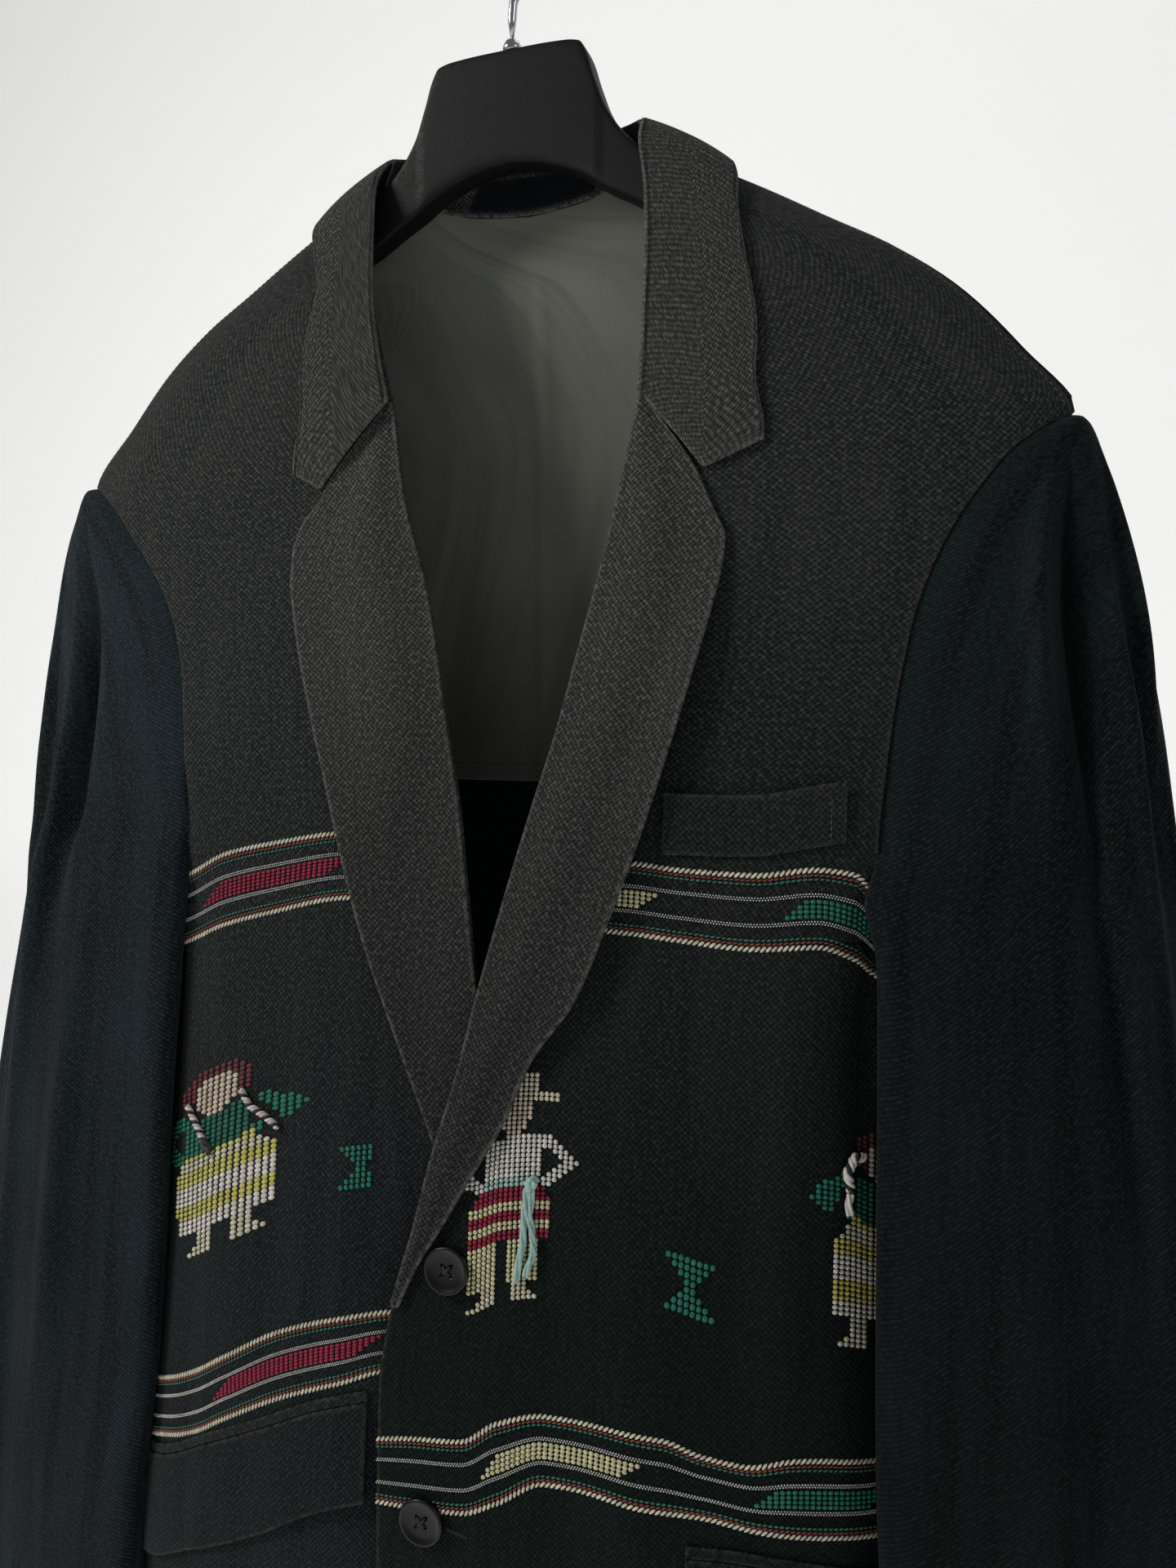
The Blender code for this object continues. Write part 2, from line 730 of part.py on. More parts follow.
def sleeve_ends(z, side):
    """The front and back ends of the top sleeve's section, and its outermost point."""
    read = {name: smooth(SLEEVE, name)(z) for name in SLEEVE[0][1:]}
    if side < 0:
        read["outer_x"] = read["outer_x"] + RIGHT_OUTER
        read["front_x"] = read["front_x"] + RIGHT_FRONT * (1 - 0.6 * ease(700, 790, -z))
    above = z > SLEEVE_SEAM_TOP
    front = form(z, armhole_turn(z, side))
    back = form(z, armhole_turn(z, side, back=True))
    join = ease(-30, 0, SLEEVE_SEAM_TOP - z)
    ends = []
    for name, seam in (("front", front), ("back", back)):
        away = -SLEEVE_STEP if name == "front" else SLEEVE_STEP
        for axis, place, step in (("_x", side * seam[..., 0], SLEEVE_STEP), ("_y", seam[..., 1], away)):
            below = read[name + axis]
            ends.append(np.where(above, (place + step) * (1 - join) + below * join, below))
    return (*ends, read["outer_x"], read["outer_y"])


def top_sleeve(z, share, side):
    """The top sleeve: share 0 is its front seam, 0.5 its outermost line and 1 its back seam."""
    z, share = np.broadcast_arrays(np.asarray(z, float), np.asarray(share, float))
    front_x, front_y, back_x, back_y, outer_x, outer_y = sleeve_ends(z, side)
    front = share < 0.5
    angle = np.radians(180 * np.abs(share - 0.5))
    across = np.maximum(np.cos(angle), 0) ** (2 / SLEEVE_ROUNDNESS)
    deep = np.maximum(np.sin(angle), 0) ** (2 / SLEEVE_ROUNDNESS)
    end_x = np.where(front, front_x, back_x)
    end_y = np.where(front, front_y, back_y)
    x = end_x + (outer_x - end_x) * across
    y = outer_y + (end_y - outer_y) * deep
    return np.stack([x, y, z], axis=-1)


def under_sleeve(z, share, side):
    """The under sleeve, which hangs against the body's side, from the front seam to the back one."""
    z, share = np.broadcast_arrays(np.asarray(z, float), np.asarray(share, float))
    front_x, front_y, back_x, back_y, _, _ = sleeve_ends(z, side)
    bow = np.sin(math.pi * share)
    x = front_x * (1 - share) + back_x * share - UNDER_DEPTH * bow
    y = front_y + (back_y - front_y) * (1 - np.cos(math.pi * share)) / 2
    clear = UNDER_CLEAR + POCKET_CLEAR * ease(690, 730, -z) * (1 - ease(840, 890, -z))
    depth = np.where(y < 0, FRONT(z), BACK(z)) + clear
    power = ROUND(z)
    flank = np.maximum(1 - np.minimum(np.abs(y) / depth, 1) ** power, 0) ** (1 / power)
    held = (half_width(z, side) + clear) * flank
    return np.stack([np.maximum(x, held), y, z], axis=-1)


def folded_sleeve(z, share, side):
    """The top sleeve with its folds, along its own outward direction."""
    place = top_sleeve(z, share, side)
    run = top_sleeve(z, share + 0.01, side) - top_sleeve(z, share - 0.01, side)
    out = np.stack([run[..., 1], -run[..., 0], np.zeros_like(run[..., 0])], axis=-1)
    out /= np.maximum(np.linalg.norm(out, axis=-1, keepdims=True), 1e-9)
    return place + out * folds(SLEEVE_FOLDS, share, place[..., 2])[..., None]


def make_sleeves():
    """The two pieces of each sleeve."""
    top_rows = heights(-262.8, (-266, 1), (-272, 1), (-284, 1), (-300, 1), (-466, 6), (SLEEVE_END, 10))
    under_rows = heights(SLEEVE_SEAM_TOP - 1, (-500, 2), (SLEEVE_END, 9))
    inset = 0.004
    for side, word in ((1, "left"), (-1, "right")):
        flip = np.array([side, 1, 1])
        share = np.linspace(inset, 1 - inset, 15)[None, :]
        points = folded_sleeve(top_rows[:, None], share, side)
        wall("sleeve_%s_top" % word, points * flip, grid_normals(points) * flip, CLOTH, "sleeve_cloth")
        share = np.linspace(0.02, 0.98, 12)[None, :]
        points = under_sleeve(under_rows[:, None], share, side)
        wall("sleeve_%s_under" % word, points * flip, grid_normals(points) * flip, CLOTH, "sleeve_cloth")


def make_lining():
    """The half lining of the back, which hangs inside the back panels."""
    z = heights(-139.4, (-170, 2), (-262, 4), (-421, 6))
    edge = smooth(LINING_EDGE, "turn")(z)
    lift = lambda rows, turn: np.full_like(rows, -LINING_DROP)
    body_panel("back_lining", z, edge, 360 - edge, 15, lift, "lining_cloth", LINING)


def patch(name, table, shares, columns, lift, thick, slot, under=0.0):
    """A piece laid on a front, between the top and bottom of its table."""
    xs = [row[0] for row in table[1:]]
    x = np.linspace(min(xs), max(xs), columns)[None, :]
    share = np.asarray(shares, float)[:, None]
    top = smooth(table, "top")(x)
    bottom = smooth(table, "bottom")(x)
    z = top * (1 - share) + bottom * share
    rows, places = np.broadcast_arrays(z, x)
    turn = turn_at(rows, places)
    raised = lift(share) + (CLOTH + thick) / 2 + SEAM
    points, normals = on_body(rows, turn, raised + under * underlap(rows, turn))
    return wall(name, points, normals, thick, slot)


def strip_above(table, height):
    """The table of a strip that lies just above another piece."""
    rows = [(x, top + height + SEAM, top + SEAM) for x, top, _ in table[1:]]
    return (table[0], *rows)


def make_pockets():
    """The breast welt, and each lower pocket's jet and flap."""
    gape = lambda share: WELT_GAPE * (1 - share) ** 2
    patch("breast_welt", WELT, (0, 0.33, 0.66, 1), 9, gape, 1.4, "front_cloth")
    flat = lambda share: 0.0 * share
    hang = lambda share: FLAP_STAND * share
    for word, table, under in (("right", FLAP_RIGHT, 1.0), ("left", FLAP_LEFT, 0.0)):
        patch("pocket_flap_" + word, table, (0, 0.35, 0.7, 1), 11, hang, 1.4, "front_cloth", under)
        patch("pocket_jet_" + word, strip_above(table, JET), (0, 1), 11, flat, 1.0, "front_cloth", under)


def turned(bm, profile, segments, frame):
    """Adds a turned solid: profile is (radius, height) from its bottom centre to its top centre."""
    origin, out, side, up = frame
    rings = []
    for radius, height in profile:
        if radius == 0:
            rings.append([bm.verts.new(origin + out * height)])
            continue
        angles = [2 * math.pi * k / segments for k in range(segments)]
        rings.append([bm.verts.new(origin + out * height + side * radius * math.cos(a)
                                   + up * radius * math.sin(a)) for a in angles])
    for low, high in zip(rings, rings[1:]):
        for k in range(segments):
            n = (k + 1) % segments
            corners = [low[k % len(low)], low[n % len(low)], high[n % len(high)], high[k % len(high)]]
            bm.faces.new(list(dict.fromkeys(corners)))


def make_button(name, x, z):
    """A dished four-hole button on the left front."""
    place, normal = on_body(z, turn_at(z, x), CLOTH / 2 + SEAM)
    side = np.cross(normal, np.array([0, 0, 1.0]))
    side /= np.linalg.norm(side)
    up = np.cross(side, normal)
    profile = ((0, 0), (BUTTON_RADIUS - 1.2, 0), (BUTTON_RADIUS, 1.1), (BUTTON_RADIUS - 0.1, 2.6),
               (BUTTON_RADIUS - 0.8, BUTTON_THICK), (BUTTON_RADIUS - 1.8, BUTTON_THICK - 0.3),
               (BUTTON_RADIUS - 3.0, 2.3), (4.0, 2.2), (0, 2.2))
    bm = bmesh.new()
    turned(bm, profile, 20, (place, normal, side, up))
    made = new_object(name, bm, "button_resin")
    holes = bmesh.new()
    for a in (-1, 1):
        for b in (-1, 1):
            centre = place + (side * a + up * b) * HOLE_OUT - normal * 2
            turned(holes, ((0, 0), (HOLE_RADIUS, 0), (HOLE_RADIUS, 8), (0, 8)), 6, (centre, normal, side, up))
    cutter = new_object(name + "_holes", holes, "button_resin")
    cutter.hide_render = True
    cutter.display_type = "WIRE"
    cut = made.modifiers.new("holes", "BOOLEAN")
    cut.operation = "DIFFERENCE"
    cut.solver = "EXACT"
    cut.object = cutter


def arm_stations(side):
    """Sections of a hanger arm: each follows the inside of the shoulder it carries."""
    rows = BACK_ROWS[BACK_ROWS >= SHOULDER_END]
    stations = []
    for x in np.linspace(ARM_FROM + 16, ARM_TO, 8):
        z = np.interp(x, half_width(rows, side), rows)
        stations.append((x, z - ARM_CLEAR, z - ARM_CLEAR - ARM_HEIGHT, ARM_THICK))
    return stations


def hanger_ring(x, top, bottom, thick, rounded):
    """One section of the hanger, as eight points in the YZ plane: rounded over the arms."""
    half = thick / 2
    crown = 0.42 if rounded else 0.85
    drop = min(9.0, (top - bottom) * 0.35) if rounded else 1.4
    return [(x, -half * crown, top), (x, half * crown, top), (x, half, top - drop), (x, half, bottom + 3),
            (x, half * 0.8, bottom), (x, -half * 0.8, bottom), (x, -half, bottom + 3), (x, -half, top - drop)]


def make_hanger():
    """The hanger's neck and arms, its ferrule and its steel hook."""
    neck = [(*row, False) for row in HANGER[1:]]
    left = neck + [(*row, True) for row in arm_stations(1)]
    right = neck[1:] + [(*row, True) for row in arm_stations(-1)]
    right = [(-row[0], *row[1:]) for row in reversed(right)]
    bm = bmesh.new()
    rings = [[bm.verts.new(p) for p in hanger_ring(*row)] for row in right + left]
    for a, b in zip(rings, rings[1:]):
        for k in range(8):
            n = (k + 1) % 8
            bm.faces.new((a[k], a[n], b[n], b[k]))
    bm.faces.new(list(reversed(rings[0])))
    bm.faces.new(rings[-1])
    new_object("hanger_body", bm, "hanger_lacquer", 35)

    up = (np.array([0, 0, HANGER[1][1] + SEAM]), np.array([0, 0, 1.0]), np.array([1.0, 0, 0]),
          np.array([0, 1.0, 0]))
    bm = bmesh.new()
    turned(bm, ((0, 0), (FERRULE_RADIUS, 0), (FERRULE_RADIUS, 3.4), (3.6, 5.3), (2.5, 6.1), (0, 6.1)), 20, up)
    new_object("hanger_ferrule", bm, "hook_steel")

    centre = WIRE - HOOK_RADIUS
    path = [(x, 0, z) for x, z in HOOK_SHANK]
    for angle in np.radians(np.linspace(HOOK_START, HOOK_STOP, 17)):
        path.append((HOOK_RADIUS * math.cos(angle), 0, centre + HOOK_RADIUS * math.sin(angle)))
    bm = bmesh.new()
    tube(bm, np.array(path, float), WIRE, 8)
    new_object("hanger_hook", bm, "hook_steel")


def tube(bm, path, radius, sides):
    """Adds a round wire along a path in the XZ plane, with closed ends."""
    rings = []
    for place, way in zip(path, np.gradient(path, axis=0)):
        way = way / np.linalg.norm(way)
        flat = np.array([0, 1.0, 0])
        across = np.cross(way, flat)
        angles = [2 * math.pi * k / sides for k in range(sides)]
        rings.append([bm.verts.new(place + radius * (across * math.cos(a) + flat * math.sin(a)))
                      for a in angles])
    for a, b in zip(rings, rings[1:]):
        for k in range(sides):
            n = (k + 1) % sides
            bm.faces.new((a[k], a[n], b[n], b[k]))
    bm.faces.new(list(reversed(rings[0])))
    bm.faces.new(rings[-1])


def main():
    """Builds every piece."""
    clear_scene()
    make_hanger()
    make_fronts()
    make_backs()
    make_lapels()
    make_collar()
    make_label()
    make_sleeves()
    make_lining()
    make_pockets()
    for name, x, z in BUTTONS:
        make_button(name, x, z)


main()
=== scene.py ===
# %% [markdown]
# # An embroidered jacket on its hanger
# A tailored jacket in handwoven cotton: charcoal fronts with brocaded bands and little brocaded
# people, softer and darker cloth for the sleeves and back, a half lining, and a black suit hanger.
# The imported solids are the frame. Each cloth piece here is a finer sheet on the same form, because
# cloth shows its folds, weave and worn edges only when it has enough points to bend.

# %% Load the frame and keep its box
import math

import bmesh
import bpy
import numpy as np
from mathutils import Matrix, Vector


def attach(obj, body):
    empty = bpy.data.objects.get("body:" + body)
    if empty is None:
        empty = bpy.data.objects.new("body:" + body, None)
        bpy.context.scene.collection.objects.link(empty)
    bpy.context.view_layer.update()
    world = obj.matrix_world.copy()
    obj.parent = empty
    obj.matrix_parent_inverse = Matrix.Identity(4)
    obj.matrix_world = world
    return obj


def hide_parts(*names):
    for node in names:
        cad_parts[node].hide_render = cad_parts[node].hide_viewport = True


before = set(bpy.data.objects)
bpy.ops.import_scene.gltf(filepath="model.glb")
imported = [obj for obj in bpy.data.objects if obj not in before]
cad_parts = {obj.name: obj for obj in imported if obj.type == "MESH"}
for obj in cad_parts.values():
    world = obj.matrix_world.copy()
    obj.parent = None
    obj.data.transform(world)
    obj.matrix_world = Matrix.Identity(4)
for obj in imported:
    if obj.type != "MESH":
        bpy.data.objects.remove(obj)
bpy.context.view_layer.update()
MM = 0.001
print("solids:", len(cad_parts))

# %% [markdown]
# ## The camera and the studio
# The camera stands close to the jacket, a little to its left and below the shoulders, which is why
# the wearer's left side looks larger. A close camera is copied by its place, not by a longer lens.

# %% The camera
CAMERA_PLACE = (0.2322, -0.5398, -0.3810)
CAMERA_TURN = 19.74
CAMERA_TILT = -3.85
LENS = 27.04


def look(turn, tilt):
    """The direction of a camera turned to the left of +Y and tilted up, in degrees."""
    a, p = math.radians(turn), math.radians(tilt)
    return Vector((-math.sin(a) * math.cos(p), math.cos(a) * math.cos(p), math.sin(p)))


scene = bpy.context.scene
lens = bpy.data.cameras.new("camera")
lens.sensor_fit = "VERTICAL"
lens.sensor_height = 36.0
lens.sensor_width = 27.0
lens.lens = LENS
lens.clip_start = 0.01
camera = bpy.data.objects.new("camera", lens)
camera.location = CAMERA_PLACE
camera.rotation_euler = look(CAMERA_TURN, CAMERA_TILT).to_track_quat("-Z", "Y").to_euler()
scene.collection.objects.link(camera)
scene.camera = camera
scene.view_settings.view_transform = "Standard"
print("camera at", tuple(round(v, 3) for v in camera.location))


# %% [markdown]
# ## Helpers for colour and nodes
# Colours are read off cloth as sRGB hex values, and Blender wants linear light, so one function
# turns them. One small function adds any node, sets it and links it.

# %% Colour and node helpers
def linear(text):
    """A hex sRGB colour as linear RGBA."""
    channels = [int(text[i:i + 2], 16) / 255 for i in (0, 2, 4)]
    return (*[c / 12.92 if c <= 0.04045 else ((c + 0.055) / 1.055) ** 2.4 for c in channels], 1.0)


def add_node(tree, kind, inputs=None, **settings):
    """Adds a node, sets its properties, and fills its inputs with values or other nodes' outputs."""
    node = tree.nodes.new(kind)
    for name, value in settings.items():
        setattr(node, name, value)
    for key, value in (inputs or {}).items():
        if isinstance(value, bpy.types.NodeSocket):
            tree.links.new(value, node.inputs[key])
        else:
            node.inputs[key].default_value = value
    return node


def blank_material(name, roughness, metallic=0.0):
    """A material with only its shader, and the shader itself."""
    made = bpy.data.materials.new(name)
    made.use_nodes = True
    shader = made.node_tree.nodes["Principled BSDF"]
    shader.inputs["Roughness"].default_value = roughness
    shader.inputs["Metallic"].default_value = metallic
    return made, made.node_tree, shader


# %% [markdown]
# ## The studio
# The photograph has an even, almost white background and a big soft light from the front and
# above. A pale curved sweep gives both the floor and the wall.

# %% The sweep and the lights
SWEEP_GLOW = 0.38
SWEEP_FRONT, SWEEP_BACK, SWEEP_FLOOR, SWEEP_TOP, SWEEP_SIDE = -2.4, 0.9, -1.25, 3.2, 5.0
BEND_RADIUS, BEND_STEPS = 0.6, 12


def make_sweep():
    """A pale floor that curves up into a wall behind the jacket, lit from behind its cloth."""
    profile = [(SWEEP_FRONT, SWEEP_FLOOR), (SWEEP_BACK, SWEEP_FLOOR)]
    for angle in np.radians(np.linspace(0, 90, BEND_STEPS + 1)[1:]):
        profile.append((SWEEP_BACK + BEND_RADIUS * math.sin(angle),
                        SWEEP_FLOOR + BEND_RADIUS * (1 - math.cos(angle))))
    profile.append((SWEEP_BACK + BEND_RADIUS, SWEEP_TOP))
    verts, faces = [], []
    for y, z in profile:
        verts += [(-SWEEP_SIDE, y, z), (SWEEP_SIDE, y, z)]
    for k in range(len(profile) - 1):
        faces.append((2 * k, 2 * k + 1, 2 * k + 3, 2 * k + 2))
    mesh = bpy.data.meshes.new("sweep")
    mesh.from_pydata(verts, [], faces)
    mesh.shade_smooth()
    made, tree, shader = blank_material("matt_white_paint", 0.9)
    grain = add_node(tree, "ShaderNodeTexNoise", {"Scale": 3.0, "Detail": 2.0})
    tint = add_node(tree, "ShaderNodeMix", {0: grain.outputs[0], 6: linear("f4f4f3"), 7: linear("f7f7f6")},
                    data_type="RGBA")
    tree.links.new(tint.outputs[2], shader.inputs["Base Color"])
    shader.inputs["Emission Color"].default_value = linear("f6f6f5")
    shader.inputs["Emission Strength"].default_value = SWEEP_GLOW
    mesh.materials.append(made)
    sweep = bpy.data.objects.new("sweep", mesh)
    scene.collection.objects.link(sweep)


def add_light(name, place, aim, size, watts, colour="ffffff"):
    """A square soft light aimed at a point."""
    data = bpy.data.lights.new(name, "AREA")
    data.size = size
    data.energy = watts
    data.color = linear(colour)[:3]
    made = bpy.data.objects.new(name, data)
    made.location = place
    made.rotation_euler = (Vector(aim) - Vector(place)).to_track_quat("-Z", "Y").to_euler()
    scene.collection.objects.link(made)


make_sweep()
add_light("key", (-1.4, -0.95, 0.65), (0.0, 0.0, -0.35), 0.5, 24, "fffdfa")
add_light("fill", (1.5, -0.75, 0.35), (0.2, 0.0, -0.5), 0.5, 3.0, "f2f7ff")
add_light("rim", (0.3, 0.6, 1.7), (0.0, 0.0, -0.3), 1.0, 3)
world = bpy.data.worlds.new("studio")
world.use_nodes = True
world.node_tree.nodes["Background"].inputs["Color"].default_value = linear("f6f7f9")
world.node_tree.nodes["Background"].inputs["Strength"].default_value = 0.17
scene.world = world

# %% [markdown]
# ## The form under the cloth
# A jacket on a hanger is a soft tube: a ring at each height, wide at the shoulders and round in
# front. These are the part's own named sizes in millimetres, so the cloth here lies on its solids.

# %% The body's rings and folds
BODY = (
    ("z", "left_half", "right_half", "front", "back", "roundness"),
    (-124, 71, 71, 15, 21, 2.5),
    (-132, 86, 84, 17, 23, 2.6),
    (-142, 105, 102, 18, 26, 2.7),
    (-155, 129, 124, 20, 27, 2.8),
    (-170, 155, 148, 22, 28, 2.9),
    (-186, 183, 174, 24, 29, 3.0),
    (-206, 209, 199, 26, 30, 3.0),
    (-232, 233, 223, 28, 31, 3.0),
    (-262, 256, 248, 31, 32, 3.0),
    (-300, 259, 254, 36, 33, 3.0),
    (-350, 252, 248, 43, 33, 3.0),
    (-400, 238, 236, 52, 34, 2.9),
    (-450, 218, 217, 61, 34, 2.8),
    (-480, 205, 205, 66, 35, 2.7),
    (-520, 200, 200, 72, 36, 2.6),
    (-628, 200, 200, 85, 37, 2.6),
    (-744, 206, 206, 93, 38, 2.6),
    (-892, 216, 216, 97, 40, 2.6),
)
# The first rows are the solids' own folds, the rest are the smaller ones between them
BODY_FOLDS = (
    ("turn", "lean", "top", "bottom", "width", "height"),
    (62, 0.5, -330, -700, 5.0, -4.0),
    (50, -1.0, -380, -800, 6.0, 2.5),
    (30, -1.5, -540, -860, 7.0, 3.0),
    (17, 0.5, -620, -900, 6.0, -2.5),
    (-60, 0.6, -330, -700, 6.0, -3.5),
    (-38, 1.0, -540, -760, 7.0, 2.5),
    (150, 0.5, -430, -960, 8.0, -3.0),
    (205, -0.6, -400, -960, 8.0, -3.0),
    (174, 0.5, -520, -960, 7.0, 2.0),
    (58, 0.8, -300, -560, 2.2, 1.8),
    (66, 0.4, -420, -640, 2.0, 1.5),
    (42, -0.6, -500, -760, 3.0, -1.2),
    (25, 0.8, -640, -900, 3.0, 1.2),
    (40, 0.4, -700, -930, 3.4, 1.4),
    (-52, 0.4, -340, -620, 2.6, 1.5),
    (-67, 0.2, -430, -660, 2.4, 1.3),
    (-46, 1.0, -600, -900, 3.0, -1.0),
    (-30, 0.3, -690, -920, 3.6, -1.2),
    (-20, 0.5, -720, -930, 3.0, 1.0),
    (135, 0.3, -380, -820, 3.0, 1.4),
    (160, 0.3, -560, -960, 3.4, 1.3),
    (190, -0.3, -600, -960, 3.4, 1.3),
    (222, -0.5, -360, -800, 3.0, 1.4),
    (233, -0.2, -480, -900, 2.6, -1.3),
    (128, 0.2, -520, -900, 2.6, -1.3),
    (-10.8, 5.2, -520, -640, 1.1, 1.2),
)
# The turn past which a fold belongs to the back, and the turn of the shoulder seam and its end
BACK_FROM, SHOULDER_TURN, SHOULDER_END = 110, 81.0, -262.0
ARMPIT, HEM, NECK_POINT = -480.5, -892.0, -128.5
CLOTH, LAYERED, LINING, LAPEL_UNDER, LAPEL_SLACK, SEAM = 1.4, 2.2, 1.0, 1.6, 0.7, 0.45
print("rings:", len(BODY) - 1, "folds:", len(BODY_FOLDS) - 1)


# %% Curves through a table's named columns
def columns_of(table, name):
    """The first column of a table and the named one, in rising order."""
    place = table[0].index(name)
    rows = sorted(table[1:])
    return np.array([row[0] for row in rows], float), np.array([row[place] for row in rows], float)


def smooth(table, name):
    """A smooth curve through a named column that never overshoots its values."""
    at, value = columns_of(table, name)
    step = np.diff(at)
    rise = np.diff(value) / step
    slope = np.zeros(len(at))
    slope[0], slope[-1] = rise[0], rise[-1]
    before, after = rise[:-1], rise[1:]
    same_way = before * after > 0
    total = np.where(same_way, before + after, 1.0)
    slope[1:-1] = np.where(same_way, 2 * before * after / total, 0.0)

    def read(place):
        place = np.clip(place, at[0], at[-1])
        k = np.clip(np.searchsorted(at, place) - 1, 0, len(step) - 1)
        t = (place - at[k]) / step[k]
        start = (1 + 2 * t) * (1 - t) ** 2 * value[k] + t * (1 - t) ** 2 * step[k] * slope[k]
        end = t * t * (3 - 2 * t) * value[k + 1] + t * t * (t - 1) * step[k] * slope[k + 1]
        return start + end

    return read


def ease(low, high, value):
    """0 below low, 1 above high and smooth between."""
    t = np.clip((value - low) / (high - low), 0, 1)
    return t * t * (3 - 2 * t)


def unit(vectors):
    """Vectors made one long."""
    return vectors / np.maximum(np.linalg.norm(vectors, axis=-1, keepdims=True), 1e-9)


def folds(table, along, z):
    """The height of all the folds of a table at a place along the ring and a height z."""
    total = np.zeros(np.broadcast(along, z).shape)
    for start, lean, top, bottom, width, height in table[1:]:
        fall = np.clip((top - z) / (top - bottom), 0, 1)
        middle = start + lean * (top - z) / 100
        total = total + height * np.sin(math.pi * fall) ** 2 * np.exp(-(((along - middle) / width) ** 2))
    return total


# %% The body's form
LEFT_HALF = smooth(BODY, "left_half")
RIGHT_HALF = smooth(BODY, "right_half")
FRONT = smooth(BODY, "front")
BACK = smooth(BODY, "back")
ROUND = smooth(BODY, "roundness")


def half_width(z, side):
    """The form's half width, on the left where side is positive and else on the right."""
    return np.where(np.asarray(side) < 0, RIGHT_HALF(z), LEFT_HALF(z))


def form(z, turn):
    """The smooth form: turn 0 is the centre front, 90 the left side, 180 the centre back."""
    z, turn = np.broadcast_arrays(np.asarray(z, float), np.asarray(turn, float))
    across = np.sin(np.radians(turn))
    depth = np.where(np.cos(np.radians(turn)) > 0, -FRONT(z), BACK(z))
    power = ROUND(z)
    y = depth * np.maximum(1 - np.abs(across) ** power, 0) ** (1 / power)
    return np.stack([half_width(z, across) * across, y, z], axis=-1)


def outward(surface, first, second, step):
    """The outward direction of a ring, level with the floor."""
    run = surface(first, second + step) - surface(first, second - step)
    return unit(np.stack([run[..., 1], -run[..., 0], np.zeros_like(run[..., 0])], axis=-1))


def body(z, turn):
    """The form with its folds, moved along the ring's own outward direction."""
    place = form(z, turn)
    side = np.mod(np.asarray(turn) + 180, 360) - 180
    wrapped = np.where(np.asarray(turn) > BACK_FROM, turn, np.where(side < -BACK_FROM, side + 360, side))
    height = folds(BODY_FOLDS, wrapped, place[..., 2])
    return place + outward(form, z, np.asarray(turn), 0.5) * height[..., None]


def on_body(z, turn, lift=0.0):
    """Points on the body moved out by lift, and the body's normals there."""
    z, turn = np.broadcast_arrays(np.asarray(z, float), np.asarray(turn, float))
    along = body(z, turn + 0.5) - body(z, turn - 0.5)
    down = body(z + 0.5, turn) - body(z - 0.5, turn)
    normal = unit(np.cross(along, down))
    return body(z, turn) + normal * np.asarray(lift)[..., None], normal


def turn_at(z, x, back=False):
    """The turn at which the form passes a place on the X axis."""
    turn = np.degrees(np.arcsin(np.clip(x / half_width(z, x), -1, 1)))
    return 180 - turn if back else turn


def shifted(z, turn, gap):
    """A turn moved along the ring by a gap in millimetres."""
    reach = np.linalg.norm(form(z, turn + 0.5) - form(z, turn - 0.5), axis=-1)
    return turn + gap / np.maximum(reach, 0.3)


# %% [markdown]
# ## A shell of cloth
# Every panel is a grid of middle points with a thickness, thinner at its rims so that an edge looks
# turned and pressed instead of cut. Each shell keeps two things for its finish: UVs in metres along
# the weave, so threads have their real size, and each point's distance from the panel's edge, where
# a washed jacket wears pale.

# %% The shell builder
# Where the rows nearest an edge lie, in mm, and how thick the wall is on the two outermost
RIM_PLACES, RIM_THICK = (0.0, 0.5, 1.4), (0.35, 0.8)


def spread(count, reach):
    """Places from 0 to 1 with two close ones at each end, for the rims of a piece reach mm long."""
    rim = np.array(RIM_PLACES) / reach
    return np.concatenate([rim, np.linspace(0, 1, count)[1:-1], 1 - rim[::-1]])


def rim_factor(count):
    """How thick a shell is, from its rim inwards, for the places that spread gives."""
    factor = np.ones(count)
    factor[[0, -1]], factor[[1, -2]] = RIM_THICK
    return factor


def grid_lengths(points):
    """The distance along a grid's rows and columns at each point, in mm."""
    across = np.linalg.norm(np.diff(points, axis=1), axis=-1)
    down = np.linalg.norm(np.diff(points, axis=0), axis=-1)
    u = np.concatenate([np.zeros((points.shape[0], 1)), np.cumsum(across, axis=1)], axis=1)
    v = np.concatenate([np.zeros((1, points.shape[1])), np.cumsum(down, axis=0)], axis=0)
    return u, v


def travelled(points):
    """The distance along a path at each of its points."""
    return np.concatenate([[0], np.cumsum(np.linalg.norm(np.diff(points, axis=0), axis=-1))])


def grid_normals(points):
    """Unit normals of a grid of points, from its neighbours."""
    return unit(np.cross(np.gradient(points, axis=0), np.gradient(points, axis=1)))


